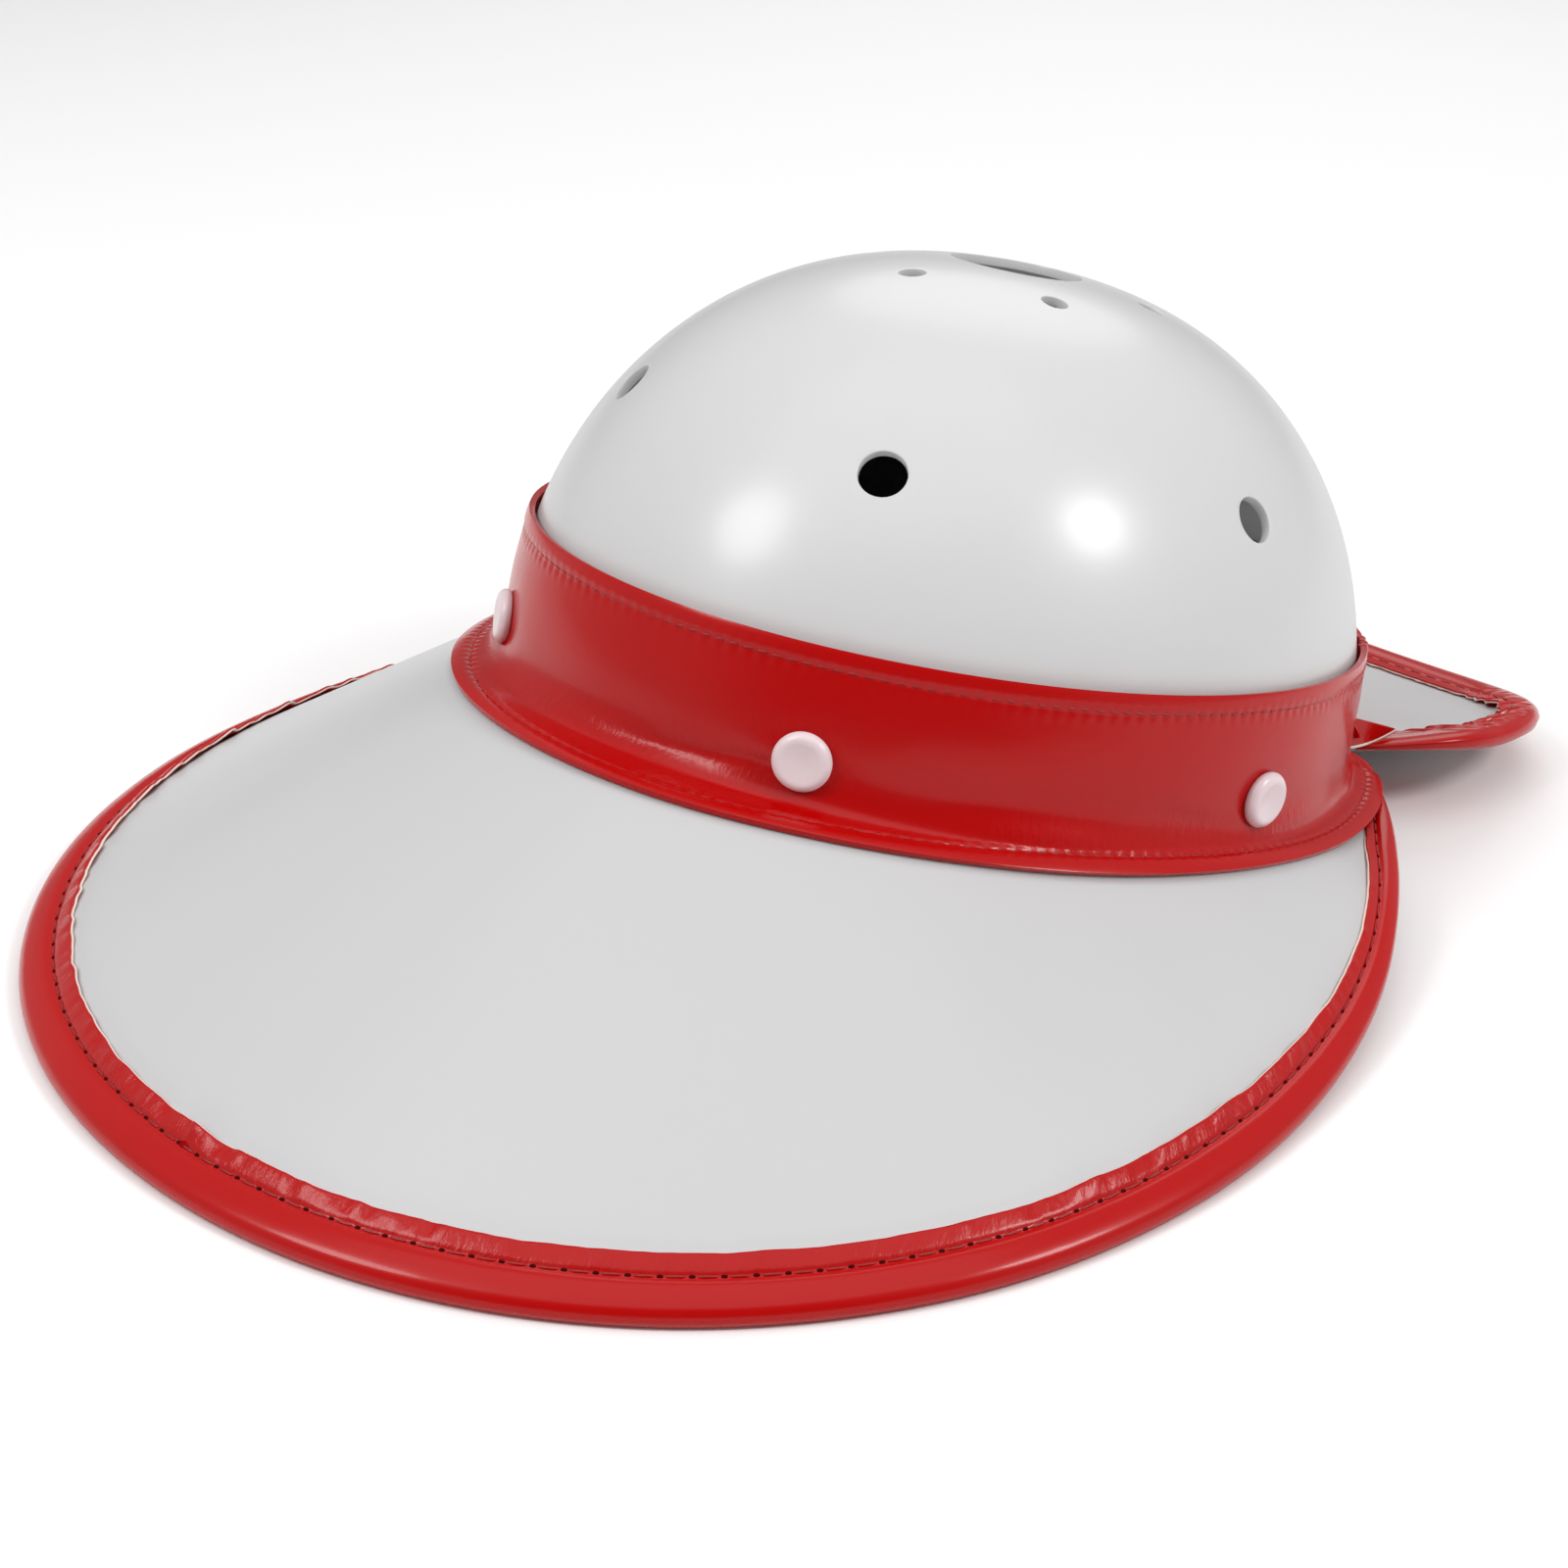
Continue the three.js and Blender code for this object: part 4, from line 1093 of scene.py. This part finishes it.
class HAT_OT_gussets(bpy.types.Operator):
    """Makes the two gussets between the band's ends and the flap: triangles whose upright side is
    on the band and whose tip is on the flap's binding, bowed out, with a pale cut lower edge."""
    bl_idname = "hat.gussets"
    bl_label = "Gussets"

    def execute(self, context):
        dome, shift = context.scene.hat_dome, axis_y(context.scene)
        columns, rows = GUSSET_GRID
        share, down = np.meshgrid(np.linspace(0, 1, columns), np.linspace(0, 1, rows), indexing="ij")
        crease = 0.5 * share
        share, down = share[..., None], down[..., None]
        bow = np.sin(np.pi * share)
        for side, word in ((1, "left"), (-1, "right")):
            upper, lower, tip = (np.array(corner) * (side, 1, 1) * MM for corner in GUSSET.values())
            foot = upper + (lower - upper) * down
            outward = unit(np.array((side, 0.7, 0.0)))
            grid = foot + (tip - foot) * share + GUSSET_BOW * bow * (1 - 0.6 * down) * outward
            row = to_row(grid - GUSSET_SAG * bow * down * np.array((0, 0, 1)), dome, shift)
            piece = add_piece(f"gusset_{word}", row, surface_of(row), glossy_red_vinyl,
                              centre=crown_middle(dome, shift), crease=crease)
            thicken(piece, GUSSET_WALL)
            edge = row[:, -1]
            low = edge - np.array((0, 0, 0.7 * MM))
            out = to_row(outward, dome, 0) - crown_middle(dome, 0)
            outer, inner = 0.6 * MM * out, 0.5 * MM * out
            strip = np.stack((edge + outer, low + outer, low - inner, edge - inner), 1)
            add_loops(f"gusset_backing_{word}", strip, knitted_backing)
        return {"FINISHED"}


class HAT_OT_snaps(bpy.types.Operator):
    """Makes the snap caps: a dished profile with its corners cut three times, turned about its
    axis."""
    bl_idname = "hat.snaps"
    bl_label = "Snaps"

    def execute(self, context):
        dome, band, shift = context.scene.hat_dome, context.scene.hat_band, axis_y(context.scene)
        profile = np.array(SNAP_SECTION)
        for _ in range(3):
            first = 0.75 * profile[:-1] + 0.25 * profile[1:]
            second = 0.25 * profile[:-1] + 0.75 * profile[1:]
            cut = np.stack((first, second), 1).reshape(-1, 2)
            profile = np.concatenate((profile[:1], cut[1:-1], profile[-1:]))
        out, z = (profile * (band.snap_diameter / 2, band.snap_height)).T
        turn = 2 * np.pi * np.arange(SNAP_COLUMNS)[:, None] / SNAP_COLUMNS
        cap = np.stack(np.broadcast_arrays(out * np.cos(turn), out * np.sin(turn), z), -1)
        quads = grid_quads(SNAP_COLUMNS, len(profile), ring_rows=True)
        for number, angle in enumerate(SNAP_ANGLES, 1):
            foot, outward = dome_point(dome, angle, band.snap_level, GAP + band.wall)
            side = unit(np.cross((0, 0, 1), outward))
            rise = np.cross(outward, side)
            placed = to_row(foot + cap @ np.stack((side, rise, outward)), dome, shift)
            centre = to_row(foot + 0.5 * band.snap_height * outward, dome, shift)
            add_piece(f"snap_{number}", placed, quads, pearl_acetal,
                      f"snap_cap_{number}", centre)
        return {"FINISHED"}


class HAT_OT_brim(bpy.types.Operator):
    """Makes the front brim, its folded binding and the binding's seam."""
    bl_idname = "hat.brim"
    bl_label = "Brim"

    def execute(self, context):
        scene = context.scene
        dome, band, sheet, shift = scene.hat_dome, scene.hat_band, scene.hat_sheet, axis_y(scene)
        end = math.degrees(sheet.brim_end)
        columns, rows = BRIM_GRID
        angle = np.linspace(-end, end, columns)
        edge, inner, root, up, _ = brim_rulings(dome, band, sheet, angle, shift)
        start = (edge + sheet.nose * unit(inner - edge))[:, None]
        inner, root = inner[:, None], root[:, None]
        share = np.linspace(0, 1, rows)[None, :]
        ripple = sheet.ripple * waves(np.radians(angle)[:, None], "brim ripple") * np.sin(np.pi * share)
        grid = start + (inner - start) * share[..., None] + ripple[..., None] * up[:, None]
        tuck = inner + (root - inner) * np.linspace(0, 1, TUCK_ROWS + 1)[None, 1:, None]
        add_sheet("brim_sheet", np.concatenate((grid, tuck), 1), sheet, "front_brim", shift)

        angle = np.linspace(-end, end, BINDING_COLUMNS)
        edge, inner, _, up, width = brim_rulings(dome, band, sheet, angle, shift)
        along = run_lengths(edge)
        # The vinyl is wrinkled at the front and at one side, and ruffled at the other side.
        lively = 0.2 + 0.8 * np.clip(bell(angle - 4, 17) + bell(angle - 66, 16), 0, 1)
        ruffled = bell(angle + 46, 26)
        ruffle = waves(along, "brim ruffle")
        lift = lively * (0.6 * waves(along, "brim pucker") + 0.55 * (1 + waves(along, "brim swell")))
        lift = MM * (lift + 0.6 * ruffled * (1 + ruffle))

        def relief(share):
            flat = -SEAM_FLAT * step_up(share, 0.5, sheet.seam)
            groove = -SEAM_GROOVE * bell(share - sheet.seam, 0.06)
            return flat + groove + lift[:, None] * step_up(share, sheet.seam, 1.0)

        def crease(share):
            sewn = step_up(share, sheet.seam - 0.15, sheet.seam + 0.1)
            return (0.25 + 0.75 * lively)[:, None] * sewn

        wobble = (0.1 + 0.2 * lively) * waves(along, "brim cut edge") + 1.4 * ruffled * ruffle
        full_height = 1 - FLATTENED * step_up(np.abs(angle), *BRIM_FLATTENING)
        shown = np.clip(bell(angle + 56, 34) + 0.3 * bell(angle - 96, 18), 0, 1)
        add_binding("brim", sheet, (edge, inner, up, width), relief, MM * wobble, full_height, crease,
                    MM * (0.15 + 0.65 * shown), True)
        return {"FINISHED"}


class HAT_OT_flap(bpy.types.Operator):
    """Makes the back flap, its gathered binding and the binding's seam."""
    bl_idname = "hat.flap"
    bl_label = "Flap"

    def execute(self, context):
        scene = context.scene
        dome, band, sheet, shift = scene.hat_dome, scene.hat_band, scene.hat_sheet, axis_y(scene)
        columns, rows = FLAP_GRID
        last = math.radians(FLAP_TURN)
        turn = np.linspace(-last, last, columns)
        x, rear = flap_outline(dome, sheet, turn, sheet.nose)
        _, front = flap_outline(dome, sheet, math.pi - turn, sheet.nose)
        outward = GAP + sheet.wall / 2
        side = np.clip(np.abs(x) / (dome.half_width + outward), 0, 1)
        start = np.maximum(front, (dome.half_length + outward) * np.sqrt(1 - side * side))
        y = start[:, None] + (rear - start)[:, None] * np.linspace(0, 1, rows)[None, :]
        x = np.broadcast_to(x[:, None], y.shape)
        grid = to_row(np.stack((x, y, flap_height(dome, band, sheet, x, y)), -1), dome, shift)
        add_sheet("flap_sheet", grid, sheet, "back_flap", shift)

        edge, inner, up, width = flap_rulings(dome, band, sheet, BINDING_COLUMNS, shift)
        along = run_lengths(edge)
        middle = along[-1] / 2
        from_rear = np.abs(along - middle)
        # The vinyl is gathered into slanted pleats round the corners, and flat elsewhere.
        corner = step_up(from_rear, 62 * MM, 88 * MM)
        corner = corner * (1 - step_up(from_rear, middle - 40 * MM, middle - 18 * MM))
        gather = waves(along, "flap gather")
        slant = 2.0 * step_up(from_rear, 70 * MM, 120 * MM)

        def relief(share):
            turns = (from_rear / PLEAT)[:, None] - slant[:, None] * share
            pleats = np.abs(np.sin(np.pi * turns + 0.8 * gather[:, None])) ** 0.7 - 0.5
            seamed = -SEAM_GROOVE * bell(share - sheet.seam, 0.06) * (1 - 0.7 * corner[:, None])
            return seamed + PLEAT_HEIGHT * corner[:, None] * pleats * step_up(share, 0.1, 0.75)

        def crease(share):
            return (0.1 + 0.7 * corner)[:, None] * step_up(share, 0.2, 0.5)

        wobble = (0.12 + 1.3 * corner) * waves(along, "flap cut edge")
        full_height = 1 - FLATTENED * step_up(from_rear, *FLAP_FLATTENING)
        add_binding("flap", sheet, (edge, inner, up, width), relief, MM * wobble, full_height, crease,
                    MM * (0.35 + 0.35 * gather), False)
        return {"FINISHED"}


# Soft boxes: azimuth and elevation as seen from the hat, in degrees, distance and size in metres,
# and power in watts.
LIGHTS = (
    {"name": "key_box", "azimuth": 111, "elevation": 42, "distance": 1.6, "size": 0.44, "power": 9},
    {"name": "left_box", "azimuth": -17, "elevation": 44, "distance": 1.6, "size": 0.55, "power": 8},
    {"name": "back_box", "azimuth": 215, "elevation": 35, "distance": 1.8, "size": 1.2, "power": 5},
    {"name": "top_box", "azimuth": 30, "elevation": 80, "distance": 1.8, "size": 2.2, "power": 10},
)


# The rise of the line along which the room is shaded, and the dot products with it at which the
# shade starts and is full.
ROOM_RISE = 0.2
SHADE_STARTS = 0.45
SHADE_FULL = 0.95


def direction(azimuth, elevation):
    """Unit vector from the hat towards an azimuth, from the front, and an elevation."""
    level = math.cos(elevation)
    return Vector((math.sin(azimuth) * level, -math.cos(azimuth) * level, math.sin(elevation)))


class HAT_OT_stage(bpy.types.Operator):
    """Makes the floor, the pale room, the soft boxes and the camera."""
    bl_idname = "hat.stage"
    bl_label = "Stage"

    def execute(self, context):
        scene = context.scene
        half = scene.hat_stage.floor / 2
        mesh = bpy.data.meshes.new("studio_floor")
        corners = ((-half, -half, 0), (half, -half, 0), (half, half, 0), (-half, half, 0))
        mesh.from_pydata(corners, [], [(0, 1, 2, 3)])
        mesh.materials.append(finish_of(studio_floor))
        add_object("studio_floor", mesh)
        self.add_room(scene, scene.hat_stage)
        centre = Vector((0, axis_y(scene), 60 * MM))
        for light in LIGHTS:
            lamp = bpy.data.lights.new(light["name"], "AREA")
            lamp.shape = "DISK"
            lamp.size = light["size"]
            lamp.energy = light["power"]
            holder = add_object(light["name"], lamp)
            away = direction(math.radians(light["azimuth"]), math.radians(light["elevation"]))
            holder.location = centre + light["distance"] * away
            holder.rotation_euler = away.to_track_quat("Z", "Y").to_euler()
        scene.view_settings.view_transform = "Standard"
        self.add_camera(scene, scene.hat_stage)
        return {"FINISHED"}

    def add_room(self, scene, stage):
        """The room's light: daylight all round, and shade near the camera's line either way, by the
        size of the dot product with that line."""
        world = scene.world or bpy.data.worlds.new("pale_room")
        scene.world = world
        world.use_nodes = True
        tree = world.node_tree
        tree.nodes.clear()
        coordinates = add_node(tree, "ShaderNodeTexCoord")
        level = math.sqrt(1 - ROOM_RISE ** 2)
        line = (math.sin(stage.azimuth) * level, -math.cos(stage.azimuth) * level, ROOM_RISE)
        towards = add_node(tree, "ShaderNodeVectorMath", {"operation": "DOT_PRODUCT", 1: line},
                           {0: coordinates.outputs["Generated"]})
        either_way = add_node(
            tree, "ShaderNodeMath", {"operation": "ABSOLUTE"}, {0: towards.outputs["Value"]})
        strength = add_node(
            tree, "ShaderNodeMapRange",
            {"interpolation_type": "SMOOTHSTEP", "From Min": SHADE_STARTS, "From Max": SHADE_FULL,
             "To Min": stage.daylight, "To Max": stage.shade}, {"Value": either_way.outputs[0]})
        sky = add_node(tree, "ShaderNodeBackground", {"Color": (1, 1, 1, 1)},
                       {"Strength": strength.outputs["Result"]})
        add_node(tree, "ShaderNodeOutputWorld", links={"Surface": sky.outputs[0]})

    def add_camera(self, scene, stage):
        """The camera that was fitted to the picture: it looks at its target from the azimuth and
        the elevation, turned about its own axis by the roll."""
        back = direction(stage.azimuth, stage.elevation)
        right = Vector((math.cos(stage.azimuth), math.sin(stage.azimuth), 0))
        up = back.cross(right)
        side = math.cos(stage.roll) * right + math.sin(stage.roll) * up
        top = math.cos(stage.roll) * up - math.sin(stage.roll) * right
        target = stage.target_side * right + Vector((0, axis_y(scene), stage.target_height))
        data = bpy.data.cameras.new("camera")
        data.sensor_width = 36
        data.lens = stage.lens
        camera = add_object("camera", data)
        rotation = Matrix((side, top, back)).transposed().to_4x4()
        camera.matrix_world = Matrix.Translation(target + stage.distance * back) @ rotation
        scene.camera = camera


class HAT_PT_panel(bpy.types.Panel):
    """Lists the hat's steps and settings."""
    bl_idname = "HAT_PT_panel"
    bl_label = "Golf Hat"
    bl_space_type = "VIEW_3D"
    bl_region_type = "UI"
    bl_category = "Golf Hat"

    def draw(self, context):
        layout = self.layout
        for operator in OPERATORS:
            layout.operator(operator.bl_idname)
        for name, kind in GROUPS.items():
            box = layout.box()
            box.label(text=kind.__doc__)
            for key in kind.__annotations__:
                box.prop(getattr(context.scene, name), key)


GROUPS = {
    "hat_dome": DomeSettings,
    "hat_band": BandSettings,
    "hat_sheet": SheetSettings,
    "hat_finish": FinishSettings,
    "hat_stage": StageSettings,
}
OPERATORS = (
    HAT_OT_dome, HAT_OT_headband, HAT_OT_bands, HAT_OT_gussets, HAT_OT_snaps, HAT_OT_brim, HAT_OT_flap,
    HAT_OT_stage,
)


def register():
    for kind in (*GROUPS.values(), *OPERATORS, HAT_PT_panel):
        bpy.utils.register_class(kind)
    for name, kind in GROUPS.items():
        setattr(bpy.types.Scene, name, PointerProperty(type=kind))


def unregister():
    for name in GROUPS:
        delattr(bpy.types.Scene, name)
    for kind in (HAT_PT_panel, *reversed(OPERATORS), *GROUPS.values()):
        bpy.utils.unregister_class(kind)


def main():
    register()
    bpy.ops.hat.dome()
    bpy.ops.hat.headband()
    bpy.ops.hat.bands()
    bpy.ops.hat.gussets()
    bpy.ops.hat.snaps()
    bpy.ops.hat.brim()
    bpy.ops.hat.flap()
    bpy.ops.hat.stage()


if __name__ == "__main__":
    main()
